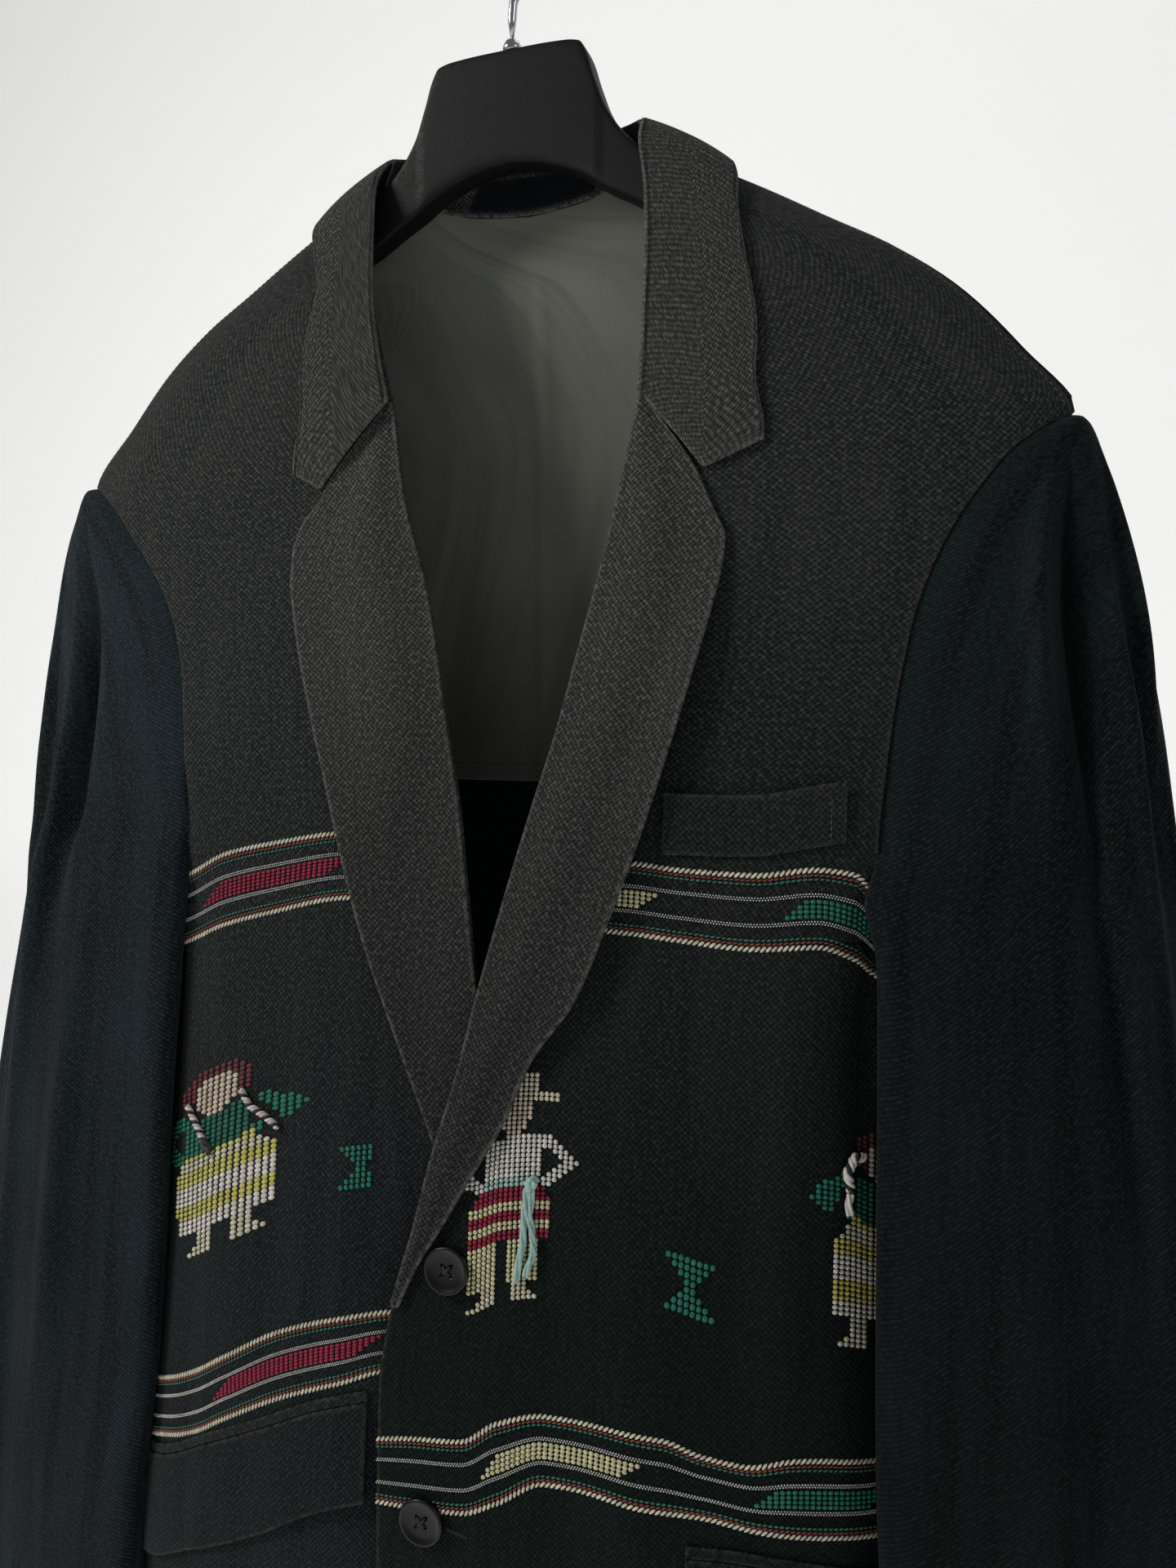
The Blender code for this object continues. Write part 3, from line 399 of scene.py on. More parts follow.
def make_mesh(name, verts, faces, finish, uv=None, edge=None):
    """A smooth object in the row's frame from points in millimetres."""
    mesh = bpy.data.meshes.new(name)
    mesh.from_pydata(np.asarray(verts) * MM, [], faces)
    mesh.update()
    volume = bmesh.new()
    volume.from_mesh(mesh)
    if volume.calc_volume(signed=True) < 0:
        mesh.flip_normals()
    volume.free()
    mesh.materials.append(finish)
    mesh.shade_smooth()
    if uv is not None:
        layer = mesh.uv_layers.new(name="cloth")
        corner = np.zeros(len(mesh.loops), dtype=np.int32)
        mesh.loops.foreach_get("vertex_index", corner)
        layer.data.foreach_set("uv", (np.asarray(uv)[corner] * MM).astype(np.float32).ravel())
    if edge is not None:
        kept = mesh.attributes.new("edge_mm", "FLOAT", "POINT")
        kept.data.foreach_set("value", np.asarray(edge, np.float32).ravel())
    made = bpy.data.objects.new(name, mesh)
    scene.collection.objects.link(made)
    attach(made, "root")
    return made


def shell(name, points, normals, thick, finish, uv=None):
    """A closed wall of cloth on a grid of middle points. Returns it and its flat size in metres."""
    rows, columns = points.shape[:2]
    u, v = grid_lengths(points)
    edge = np.minimum.reduce([u, u[:, -1:] - u, v, v[-1:, :] - v])
    factor = np.minimum.outer(rim_factor(rows), rim_factor(columns))[..., None] * thick / 2
    verts = np.concatenate([(points + normals * factor).reshape(-1, 3),
                            (points - normals * factor).reshape(-1, 3)])
    k = np.arange(rows * columns).reshape(rows, columns)
    a, b, c, d = (q.ravel() for q in (k[:-1, :-1], k[1:, :-1], k[1:, 1:], k[:-1, 1:]))
    n = rows * columns
    outer = np.stack([a, b, c, d], axis=1)
    inner = np.stack([a, d, c, b], axis=1) + n
    ring = np.concatenate([k[:, 0], k[-1, 1:], k[-2::-1, -1], k[0, -2:0:-1]])
    after = np.roll(ring, -1)
    rim = np.stack([after, ring, ring + n, after + n], axis=1)
    faces = np.concatenate([outer, inner, rim])
    down, along = points[1:, :-1] - points[:-1, :-1], points[:-1, 1:] - points[:-1, :-1]
    if uv is None:
        uv = np.stack([u, v], axis=-1)
    flat = uv.reshape(-1, 2)
    made = make_mesh(name, verts, faces.tolist(), finish, np.concatenate([flat, flat]),
                     np.concatenate([edge.ravel(), edge.ravel()]))
    area = float(np.linalg.norm(np.cross(down, along), axis=-1).sum()) * MM * MM
    width, length = float(u.max()) * MM, float(v.max()) * MM
    return made, (width, length, min(area, width * length))


SHEETS = []


def cut(made, size, node):
    """Hides the solid that a shell stands for, and lists the shell with its flat size among the sheets."""
    width, length, area = size
    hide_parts(node)
    SHEETS.append((made.name, round(width, 3), round(length, 3), round(area, 4)))


# %% [markdown]
# ## The cloths
# The fronts and collar are a coarse plain weave of handspun cotton, dyed nearly black and faded
# unevenly: single threads show as pale flecks, and warp streaks run down the cloth. The sleeves and
# back are a finer, softer twill. One function weaves them all from thread spacings in millimetres.
# The plain weave's threads are 0.9 mm apart on the real cloth; they are drawn 1.3 mm apart, the
# finest that still shows at this distance.

# %% Woven cotton
# Noise scales on UVs in metres: slubs, warp streaks, clouds, the threads' wobble, flecks and rubs
SLUB_SCALE, STREAK_SCALE, CLOUD_SCALE = (260.0, 30.0, 1.0), (70.0, 3.0, 1.0), 9.0
WOBBLE_SCALE, SPECK_SCALE, RUB_SCALE = 160.0, 520.0, 330.0
# The colour laid into the hollows between the threads: near-black painted shade
PAINTED_SHADE_BETWEEN_THREADS = "0b0d0e"


def sine_of(tree, value, period_mm):
    """The sine of a UV distance, with one turn for each period."""
    scaled = add_node(tree, "ShaderNodeMath", {0: value, 1: 2 * math.pi / (period_mm * MM)},
                      operation="MULTIPLY")
    return add_node(tree, "ShaderNodeMath", {0: scaled.outputs[0]}, operation="SINE").outputs[0]


def thread_relief(tree, uv, thread_mm, twill):
    """The node that says how far the threads rise, 0 to 1: a plain weave, or a twill's ribs."""
    wobble = add_node(tree, "ShaderNodeTexNoise", {"Vector": uv, "Scale": WOBBLE_SCALE, "Detail": 2.0})
    shift = add_node(tree, "ShaderNodeVectorMath", {0: wobble.outputs[1], 1: (0.5, 0.5, 0.5)},
                     operation="SUBTRACT")
    moved = add_node(tree, "ShaderNodeVectorMath", {0: shift.outputs[0], "Scale": thread_mm * MM * 0.9},
                     operation="SCALE")
    place = add_node(tree, "ShaderNodeVectorMath", {0: moved.outputs[0], 1: uv}, operation="ADD")
    split = add_node(tree, "ShaderNodeSeparateXYZ", {0: place.outputs[0]})
    if twill:
        slope = add_node(tree, "ShaderNodeMath", {0: split.outputs[0], 1: split.outputs[1]}, operation="ADD")
        weave = sine_of(tree, slope.outputs[0], thread_mm * 2.4)
    else:
        warp, weft = (sine_of(tree, split.outputs[k], thread_mm * 2) for k in (0, 1))
        weave = add_node(tree, "ShaderNodeMath", {0: warp, 1: weft}, operation="MULTIPLY").outputs[0]
    return add_node(tree, "ShaderNodeMapRange", {0: weave, 1: -1.0, 2: 1.0, 3: 0.0, 4: 1.0})


def woven_cotton(name, dark, mid, pale, worn, thread_mm, twill, fleck, streak_hex, wear, relief=1.0,
                 deep=None):
    """Woven cotton: threads for its bump, flecks, warp streaks, cloudy fading, worn edges and painted shade
    between the threads.

    deep is a tint that darkens the cloth along its UV height, with the UV heights where it starts and is
    full.
    """
    made, tree, shader = blank_material(name, 0.93)
    uv = add_node(tree, "ShaderNodeUVMap", uv_map="cloth").outputs[0]
    lifted = thread_relief(tree, uv, thread_mm, twill)
    threads = add_node(tree, "ShaderNodeVectorMath", {0: uv, 1: SLUB_SCALE}, operation="MULTIPLY")
    slub = add_node(tree, "ShaderNodeTexNoise", {"Vector": threads.outputs[0], "Scale": 1.0, "Detail": 3.0})
    bands = add_node(tree, "ShaderNodeVectorMath", {0: uv, 1: STREAK_SCALE}, operation="MULTIPLY")
    streaks = add_node(tree, "ShaderNodeTexNoise", {"Vector": bands.outputs[0], "Scale": 1.0, "Detail": 3.0})
    cloud = add_node(tree, "ShaderNodeTexNoise", {"Vector": uv, "Scale": CLOUD_SCALE, "Detail": 4.0})
    speck = add_node(tree, "ShaderNodeTexNoise", {"Vector": uv, "Scale": SPECK_SCALE, "Detail": 1.0})
    base = add_node(tree, "ShaderNodeMapRange", {0: cloud.outputs[0], 1: 0.34, 2: 0.66, 3: 0.0, 4: 1.0})
    colour = add_node(tree, "ShaderNodeMix", {0: base.outputs[0], 6: linear(dark), 7: linear(mid)},
                      data_type="RGBA")
    amount = add_node(tree, "ShaderNodeMapRange", {0: streaks.outputs[0], 1: 0.46, 2: 0.62, 3: 0.0, 4: 0.85})
    colour = add_node(tree, "ShaderNodeMix", {0: amount.outputs[0], 6: colour.outputs[2],
                                              7: linear(streak_hex)}, data_type="RGBA")
    gain = add_node(tree, "ShaderNodeMapRange", {0: speck.outputs[0], 1: 0.40, 2: 0.70,
                                                   3: 0.0 if twill else 0.1, 4: fleck})
    raised = add_node(tree, "ShaderNodeMath", {0: gain.outputs[0], 1: lifted.outputs[0]},
                      operation="MULTIPLY")
    colour = add_node(tree, "ShaderNodeMix", {0: raised.outputs[0], 6: colour.outputs[2], 7: linear(pale)},
                      data_type="RGBA")
    # Painted shade: where the threads sink, the colour is mixed towards near-black
    gap = add_node(tree, "ShaderNodeMapRange", {0: lifted.outputs[0], 1: 0.0, 2: 0.55,
                                                3: 0.6 * relief, 4: 0.0})
    colour = add_node(tree, "ShaderNodeMix", {0: gap.outputs[0], 6: colour.outputs[2],
                                              7: linear(PAINTED_SHADE_BETWEEN_THREADS)}, data_type="RGBA")
    if deep:
        tint, start, full = deep
        height = add_node(tree, "ShaderNodeSeparateXYZ", {0: uv})
        low = add_node(tree, "ShaderNodeMapRange", {0: height.outputs[1], 1: start, 2: full, 3: 0.0, 4: 1.0})
        colour = add_node(tree, "ShaderNodeMix", {0: low.outputs[0], 6: colour.outputs[2], 7: linear(tint)},
                          data_type="RGBA", blend_type="MULTIPLY")
    edge = add_node(tree, "ShaderNodeAttribute", attribute_name="edge_mm")
    rub = add_node(tree, "ShaderNodeMapRange", {0: edge.outputs[2], 1: 0.2, 2: 2.2, 3: wear, 4: 0.0})
    patchy = add_node(tree, "ShaderNodeTexNoise", {"Vector": uv, "Scale": RUB_SCALE, "Detail": 3.0})
    ragged = add_node(tree, "ShaderNodeMapRange", {0: patchy.outputs[0], 1: 0.38, 2: 0.62, 3: 0.1, 4: 1.0})
    rubbed = add_node(tree, "ShaderNodeMath", {0: rub.outputs[0], 1: ragged.outputs[0]}, operation="MULTIPLY")
    colour = add_node(tree, "ShaderNodeMix", {0: rubbed.outputs[0], 6: colour.outputs[2], 7: linear(worn)},
                      data_type="RGBA")
    tree.links.new(colour.outputs[2], shader.inputs["Base Color"])
    rough = add_node(tree, "ShaderNodeMapRange", {0: slub.outputs[0], 1: 0.3, 2: 0.7, 3: 0.84, 4: 0.98})
    tree.links.new(rough.outputs[0], shader.inputs["Roughness"])
    fibres = add_node(tree, "ShaderNodeMath", {0: slub.outputs[0], 1: lifted.outputs[0]}, operation="ADD")
    bump = add_node(tree, "ShaderNodeBump", {"Strength": 0.55 * relief, "Distance": 0.0005,
                                             "Height": fibres.outputs[0]})
    tree.links.new(bump.outputs[0], shader.inputs["Normal"])
    shader.inputs["Sheen Weight"].default_value = 0.02
    shader.inputs["Sheen Roughness"].default_value = 0.5
    shader.inputs["Specular IOR Level"].default_value = 0.1
    return made


# Charcoal plain weave for the fronts: flecked and streaked, deeper in tone towards the hem
# The two fronts are lit and shaded copies of one cloth: the wearer's right one is made lighter in every
# colour and tint, painted light, and the left one darker, painted shade
FRONT_CLOTH_LIT_AND_SHADED = {
    1: woven_cotton("handwoven_cotton_charcoal_shaded_left", "191d1d", "282a2a", "545350", "62615c", 1.3, False,
                    0.9, "161c1c", 0.25, 1.0, ("74978f", 0.74, 0.36)),
    -1: woven_cotton("handwoven_cotton_charcoal_lit_right", "1d2021", "2c2d2e", "5c5b58", "6a6a64", 1.3, False,
                     0.9, "191e1f", 0.25, 1.0, ("9cafb2", 0.74, 0.36)),
}
# The same weave faded, for collar and lapels: paler, with the most rubbed edges
COLLAR_CLOTH = woven_cotton("handwoven_cotton_faded", "262828", "353535", "6f6e6b", "807f79", 1.3, False,
                            1.0, "2b2c2c", 0.45, 1.0, ("bcbec0", 0.72, 0.45))
# Washed twill for the back and sleeves: softer and smoother, with a fine slanting rib
BACK_CLOTH = woven_cotton("washed_cotton_twill", "0f1816", "1a2422", "39443f", "434b4d", 0.9, True,
                          0.6, "1a1d24", 0.15, 0.6)
# The sleeves are lit and shaded copies of one twill: the wearer's right one is made lighter, painted light,
# and the left one darker, painted shade; both grow darker towards the cuff
SLEEVE_CLOTH_LIT_AND_SHADED = {
    1: woven_cotton("washed_cotton_twill_shaded_left", "080f0f", "151f1f", "303c3b", "434b4d", 0.9, True,
                    0.6, "050607", 0.2, 0.6, ("b0bcba", 0.1, 0.55)),
    -1: woven_cotton("washed_cotton_twill_lit_right", "0f1919", "222d31", "444f56", "434a4b", 0.9, True,
                     0.6, "0b0d11", 0.2, 0.6, ("d8dcde", 0.05, 0.50)),
}
# Smooth pale lining: the light patch inside the neck, with hardly any weave
LINING_CLOTH = woven_cotton("smooth_cotton_lining", "6a6c63", "7d7f74", "8a8d83", "8e9085", 0.8, False,
                            0.2, "696b62", 0.1, 0.3)
# Satin label: dark and even against the lining
LABEL_CLOTH = woven_cotton("woven_satin_label", "12141a", "191c23", "2b2e36", "454850", 0.6, True,
                           0.2, "12141a", 0.2, 0.4)
print("cloths:", [m.name for m in bpy.data.materials if "cotton" in m.name])

# %% [markdown]
# ## The fronts and backs
# A panel runs between two turns at each height: from the front edge round to the shoulder, the
# armhole and the side seam. The armhole is steep at the armpit, so rows are close together there.

# %% The panels' edges
ARMHOLE = (
    ("z", "left_front", "left_back", "right_front", "right_back"),
    (-262, 252.8, 252.8, 244.8, 244.8),
    (-266, 245, 248, 237, 240),
    (-275, 232, 238, 225, 231),
    (-292, 218, 225, 209, 222),
    (-308, 208, 217, 195, 213),
    (-323, 201, 211, 184, 206),
    (-344, 194, 206, 174, 200),
    (-362, 190.5, 203, 169, 196),
    (-381, 187.5, 200, 166, 193),
    (-413, 184, 194, 163, 189),
    (-438, 182, 190, 162, 186),
    (-456, 182.5, 189, 163.5, 185),
    (-466, 184.5, 190.5, 168, 187),
    (-472, 187.5, 193, 175, 190),
    (-476.5, 191.5, 196, 184, 194),
    (-479.3, 196, 200, 194, 199),
    (-480.5, 204.6, 204.6, 204.6, 204.6),
)
LEFT_EDGE = (
    ("z", "x"),
    (-128, 71), (-150, 71.5), (-187, 74), (-212, 74), (-243, 73), (-279, 67), (-315, 60), (-358, 50),
    (-394, 42), (-423, 34), (-459, 24.5), (-499, 14.5), (-549, 3), (-581, -6), (-611, -13), (-640, -21),
    (-662, -26.5), (-690, -29.5), (-830, -29.5), (-862, -24), (-880, -9), (-888, 8), (-892, 32),
)
RIGHT_EDGE = (
    ("z", "x"),
    (-128, -71), (-150, -68), (-187, -63), (-212, -57), (-243, -49), (-281, -42), (-327, -27),
    (-369, -17), (-410, -8), (-449, -1), (-489, 6), (-515, 11), (-560, 18), (-610, 23), (-830, 23),
    (-862, 17), (-880, 4), (-888, -12), (-892, -34),
)
# How deep the right front lies under the left one, where across it sinks and over which heights
UNDERLAP, UNDERLAP_FROM, UNDERLAP_FULL, UNDERLAP_FADE = 5.5, -56.0, -12.0, (380, 440)
SHOULDER_FADE = 8
BACK_NECK = (("z", "x"), (-126, 72), (-128, 62), (-131, 48), (-134, 32), (-136, 14), (-137, 0.2))


def armhole_turn(z, side, back=False):
    """The turn of the armhole seam, positive on the left and negative on the right."""
    column = ("left" if side > 0 else "right") + ("_back" if back else "_front")
    turn = turn_at(z, side * smooth(ARMHOLE, column)(z))
    return side * 180 - turn if back else turn


def front_side(z, side):
    """The outer edge of a front, as a turn: shoulder, armhole, then side seam."""
    armhole = armhole_turn(z, side)
    return np.where(z > SHOULDER_END, side * SHOULDER_TURN, np.where(z > ARMPIT, armhole, side * 90.0))


def back_side(z, side):
    """The outer edge of a back, as a turn."""
    armhole = armhole_turn(z, side, back=True)
    fall = ease(-SHOULDER_END - SHOULDER_FADE, -SHOULDER_END, -z)
    crest = SHOULDER_TURN + (180 - 2 * SHOULDER_TURN) * fall
    return np.where(z > SHOULDER_END, side * crest, np.where(z > ARMPIT, armhole, side * 90.0))


def no_lift(z, turn):
    """Lies on the form itself."""
    return np.zeros_like(z)


def underlap(z, turn):
    """How far the right front lies below the form, where the left front covers it."""
    x = form(z, turn)[..., 0]
    return -UNDERLAP * ease(UNDERLAP_FROM, UNDERLAP_FULL, x) * ease(*UNDERLAP_FADE, -z)


def heights(*stops):
    """Heights from stop to stop: each stop after the first is (z, number of steps)."""
    rows = [float(stops[0])]
    for stop, steps in stops[1:]:
        rows += list(np.linspace(rows[-1], stop, steps + 1)[1:])
    return np.array(rows)


TUCK, TUCK_DEPTH, TUCK_SLOPE, CENTRE_TUCK = 3.5, 1.7, 6.0, (430, 450)
# The ring that the cloth's grain is measured on, the UV height of the hook's top and a panel's width
GRAIN_AT, UV_BASE, PANEL_WIDTH = -600.0, 1000, 200.0


def back_lift(rows, turn):
    """The back's side edges are tucked under the fronts' edges."""
    left = np.abs(turn - back_side(rows, 1))
    right = np.abs(turn - 360 - back_side(rows, -1))
    reach = np.maximum(np.linalg.norm(form(rows, turn + 0.5) - form(rows, turn - 0.5), axis=-1), 0.3)
    inside = np.minimum(left, right) * reach
    steep = (rows > SHOULDER_END) | (rows < ARMPIT)
    return np.where(steep, -TUCK_DEPTH * (1 - ease(TUCK_SLOPE / 3, TUCK_SLOPE, inside)), 0.0)


def centre_tuck(rows):
    """Whether the right back is tucked under the left one at the centre seam: 1 below the lining."""
    return ease(*CENTRE_TUCK, -rows)


def right_back_lift(rows, turn):
    """The right back is tucked under the left one too."""
    past = np.maximum(-form(rows, turn)[..., 0], 0)
    centre = -TUCK_DEPTH * centre_tuck(rows) * (1 - ease(TUCK_SLOPE / 3, TUCK_SLOPE, past))
    return np.minimum(back_lift(rows, turn), centre)


def panel(name, z, start, end, columns, lift, thick, finish):
    """A shell on the body between two turns at each height, with UVs that follow its grain."""
    share = spread(columns, PANEL_WIDTH)[None, :]
    rows = np.broadcast_to(z[:, None], (len(z), share.shape[1]))
    turn = start[:, None] * (1 - share) + end[:, None] * share
    points, normals = on_body(rows, turn, lift(rows, turn))
    around = np.arange(-95, 456, 0.5)
    uv = np.stack([np.interp(turn, around, travelled(form(GRAIN_AT, around))), UV_BASE + points[..., 2]],
                  axis=-1)
    return shell(name, points, normals, thick, finish, uv)


# %% Make the fronts and the backs
FRONT_ROWS = heights(NECK_POINT, (-129, 1), (-130, 1), (-262, 34), (-440, 44), (-466, 8), (-472, 4),
                     (-476.5, 4), (-479.3, 4), (-480.8, 2), (-500, 5), (-840, 82), (-880, 16),
                     (-888, 6), (-890.6, 3), (-891.5, 1), (HEM, 1))
BACK_ROWS = heights(-126.6, (-127.2, 1), (-128.2, 1), (-137.2, 12), (-160, 6), (-262, 24), (-440, 36),
                    (-466, 7), (-472, 4), (-476.5, 4), (-479.3, 4), (-480.8, 2), (-500, 4), (-890.6, 70),
                    (-891.5, 1), (HEM, 1))
edge = turn_at(FRONT_ROWS, smooth(LEFT_EDGE, "x")(FRONT_ROWS))
side = shifted(FRONT_ROWS, front_side(FRONT_ROWS, 1), -SEAM / 2)
made, size = panel("front_left_cloth", FRONT_ROWS, edge, side, 96, no_lift, CLOTH, FRONT_CLOTH_LIT_AND_SHADED[1])
cut(made, size, "front_left")
edge = turn_at(FRONT_ROWS, smooth(RIGHT_EDGE, "x")(FRONT_ROWS))
side = shifted(FRONT_ROWS, front_side(FRONT_ROWS, -1), SEAM / 2)
made, size = panel("front_right_cloth", FRONT_ROWS, side, edge, 96, underlap, CLOTH, FRONT_CLOTH_LIT_AND_SHADED[-1])
cut(made, size, "front_right")

neck = turn_at(BACK_ROWS, smooth(BACK_NECK, "x")(BACK_ROWS), back=True)
inner = np.where(BACK_ROWS > -137.2, neck, 180 - np.degrees(SEAM / 2 / LEFT_HALF(BACK_ROWS)))
tuck = np.where((BACK_ROWS > SHOULDER_END) | (BACK_ROWS < ARMPIT), TUCK, 0.0)
side = shifted(BACK_ROWS, back_side(BACK_ROWS, 1), SEAM / 2 - tuck)
made, size = panel("back_left_cloth", BACK_ROWS, side, inner, 72, back_lift, CLOTH, BACK_CLOTH)
cut(made, size, "back_left")
side = 360 + shifted(BACK_ROWS, back_side(BACK_ROWS, -1), tuck - SEAM / 2)
inner = 360 - inner - np.degrees(TUCK * centre_tuck(BACK_ROWS) / LEFT_HALF(BACK_ROWS))
made, size = panel("back_right_cloth", BACK_ROWS, inner, side, 72, right_back_lift, CLOTH, BACK_CLOTH)
cut(made, size, "back_right")
print("panels:", SHEETS)

# %% [markdown]
# ## The lapels
# A lapel is the front facing turned out along the roll line. The roll itself is soft and round, and
# the wearer's left lapel stands away from the chest along its lower edge, which is the dark line
# beside it in the photograph.

# %% The lapels
LEFT_LAPEL = (
    ("z", "x"),
    (-244, 76), (-279, 101), (-281, 102), (-296, 109), (-310, 115), (-320, 114.5), (-335, 112),
    (-370, 104), (-404, 95), (-439, 85), (-474, 73), (-509, 59), (-535, 41), (-563, 29), (-592, 12),
    (-613, 0), (-633, -12), (-652, -20.5),
)
RIGHT_LAPEL = (
    ("z", "x"),
    (-236, -52), (-277, -86), (-280, -87), (-294, -98), (-308, -102), (-320, -102), (-333, -100),
    (-357, -94), (-388, -84), (-419, -73), (-456, -60), (-493, -46), (-528, -31), (-559, -17),
    (-585, -4), (-610, 12),
)
LAPEL_STAND, LAPEL_ROLL, ROLL_WIDTH, ROLL_REACH = 7.0, 3.4, 55.0, 0.75
# The heights over which a lapel comes to stand away and lies down again
STAND_UP, STAND_DOWN = (290, 380), (430, 640)


def lapel(name, table, inner_edge, z, thick, drop, stand, node):
    """A turned lapel from its roll line to its outer edge."""
    roll_x = smooth(inner_edge, "x")(z)
    outer_x = smooth(table, "x")(z)
    share = spread(34, 70.0)[None, :]
    x = roll_x[:, None] * (1 - share) + outer_x[:, None] * share
    rows = np.broadcast_to(z[:, None], x.shape)
    width = np.abs(outer_x - roll_x)[:, None]
    arch = np.sin(math.pi * np.minimum(share / ROLL_REACH, 1)) ** 2
    roll = LAPEL_ROLL * np.clip(width / ROLL_WIDTH, 0, 1) * arch
    below = drop(rows, turn_at(rows, x))
    buried = np.clip(-below / UNDERLAP * 1.5, 0, 1)
    away = stand * share ** 2 * ease(*STAND_UP, -rows) * (1 - ease(*STAND_DOWN, -rows))
    lift = (CLOTH + thick) / 2 + SEAM + (roll + away) * (1 - buried) + LAPEL_SLACK * buried + below
    points, _ = on_body(rows, turn_at(rows, x), lift)
    normals = grid_normals(points)
    normals = normals * np.sign(-np.median(normals[..., 1]))
    u, _ = grid_lengths(points)
    uv = np.stack([u + 40, UV_BASE + points[..., 2] * 1.02], axis=-1)
    made, size = shell(name, points, normals, thick, COLLAR_CLOTH, uv)
    cut(made, size, node)


lapel("lapel_left_cloth", LEFT_LAPEL, LEFT_EDGE,
      heights(-244.4, (-245, 1), (-246.2, 1), (-300, 26), (-320, 14), (-648, 100), (-649.3, 1), (-650, 1)),
      LAYERED, no_lift, LAPEL_STAND, "lapel_left")
lapel("lapel_right_cloth", RIGHT_LAPEL, RIGHT_EDGE,
      heights(-236.6, (-237.2, 1), (-238.2, 1), (-300, 30), (-320, 14), (-602, 86), (-603.3, 1), (-604, 1)),
      LAPEL_UNDER, underlap, 1.6, "lapel_right")
print("lapels:", SHEETS[-2:])

# %% [markdown]
# ## The collar
# The collar folds over at its top. Outside, the fall lies on the shoulders and ends in the notch;
# inside, the stand runs down to the neck seam and carries the label.

# %% The collar's lines
COLLAR = (
    ("s", "fold_x", "fold_y", "fold_z", "edge_z", "edge_turn"),
    (0.00, 74, -35, -243, -268, 30.4),
    (0.12, 75, -33, -218, -250, 30.7),
    (0.28, 75, -29, -187, -222, 34.1),
    (0.45, 72.5, -21, -152, -190, 39.5),
    (0.58, 67, -12, -125, -161, 55),
    (0.68, 64, 3, -109, -142.5, 90),
    (0.78, 52, 17, -104.5, -146, 129),
    (0.89, 28, 25, -103, -149, 155),
    (1.00, 0, 28, -102.5, -150, 180),
    (1.11, -28, 25, -103, -149, 205),
    (1.22, -53, 17, -104.5, -146, 231),
    (1.32, -65, 3, -108, -140, 270),
    (1.42, -67, -12, -124, -156, 308),
    (1.55, -65, -20, -150, -184, 326),
    (1.72, -61, -28, -187, -222, 331.5),
    (1.88, -55, -33, -215, -249, 334.7),
    (2.00, -49, -36, -237, -268, 335.3),
)
COLLAR_LIFT, RIDGE_LIFT, COLLAR_BULGE = 2.6, 2.2, 5.0
LEFT_NOTCH, RIGHT_NOTCH, NOTCH_REACH = (1 / 2, 24.0), (2 / 3, 20.0), 0.12
STAND = (
    ("s", "seam_x", "seam_y", "seam_z"),
    (0.62, 70, -5, -121.5),
    (0.70, 69.5, 6, -122),
    (0.78, 60, 13.5, -127),
    (0.89, 35, 18.5, -134),
    (1.00, 0, 21, -137),
    (1.11, -35, 18.5, -134),
    (1.22, -60, 13.5, -127),
    (1.30, -69.5, 6, -122),
    (1.38, -70, -5, -121.5),
)


def collar_fold(s):
    """The collar's fold line."""
    return np.stack([smooth(COLLAR, name)(s) for name in ("fold_x", "fold_y", "fold_z")], axis=-1)


def collar_fall(s, share):
    """The collar's outer fall, from its fold at share 0 to its edge at share 1."""
    s, share = np.broadcast_arrays(np.asarray(s, float), np.asarray(share, float))
    fold = collar_fold(s)
    ridge = np.exp(-(((np.abs(s - 1) - 0.33) / 0.12) ** 2))
    lift = COLLAR_LIFT + RIDGE_LIFT * ridge
    edge, _ = on_body(smooth(COLLAR, "edge_z")(s), smooth(COLLAR, "edge_turn")(s), lift)
    middle = (fold + edge) / 2
    away = middle - np.stack([middle[..., 0] * 0.3, np.full_like(s, 4.0), middle[..., 2] - 30], axis=-1)
    middle = middle + unit(away) * COLLAR_BULGE
    t = share[..., None]
    place = (1 - t) ** 2 * fold + 2 * t * (1 - t) * middle + t * t * edge
    for (at, drop), from_end in ((LEFT_NOTCH, s), (RIGHT_NOTCH, 2 - s)):
        along = np.where(share < at, share / at, (1 - share) / (1 - at))
        place[..., 2] -= drop * np.maximum(1 - from_end / NOTCH_REACH, 0) * along
    return place


def collar_stand(s, share):
    """The collar's inner stand, from just inside the fold down to the neck seam."""
    s, share = np.broadcast_arrays(np.asarray(s, float), np.asarray(share, float))
    fold = collar_fold(s)
    seam = np.stack([smooth(STAND, name)(s) for name in ("seam_x", "seam_y", "seam_z")], axis=-1)
    inward = unit(np.stack([-fold[..., 0], 4 - fold[..., 1], np.zeros_like(s)], axis=-1))
    top = fold + inward * (CLOTH / 2 + LAYERED / 2 - 0.3)
    t = share[..., None]
    return top * (1 - t) + seam * t


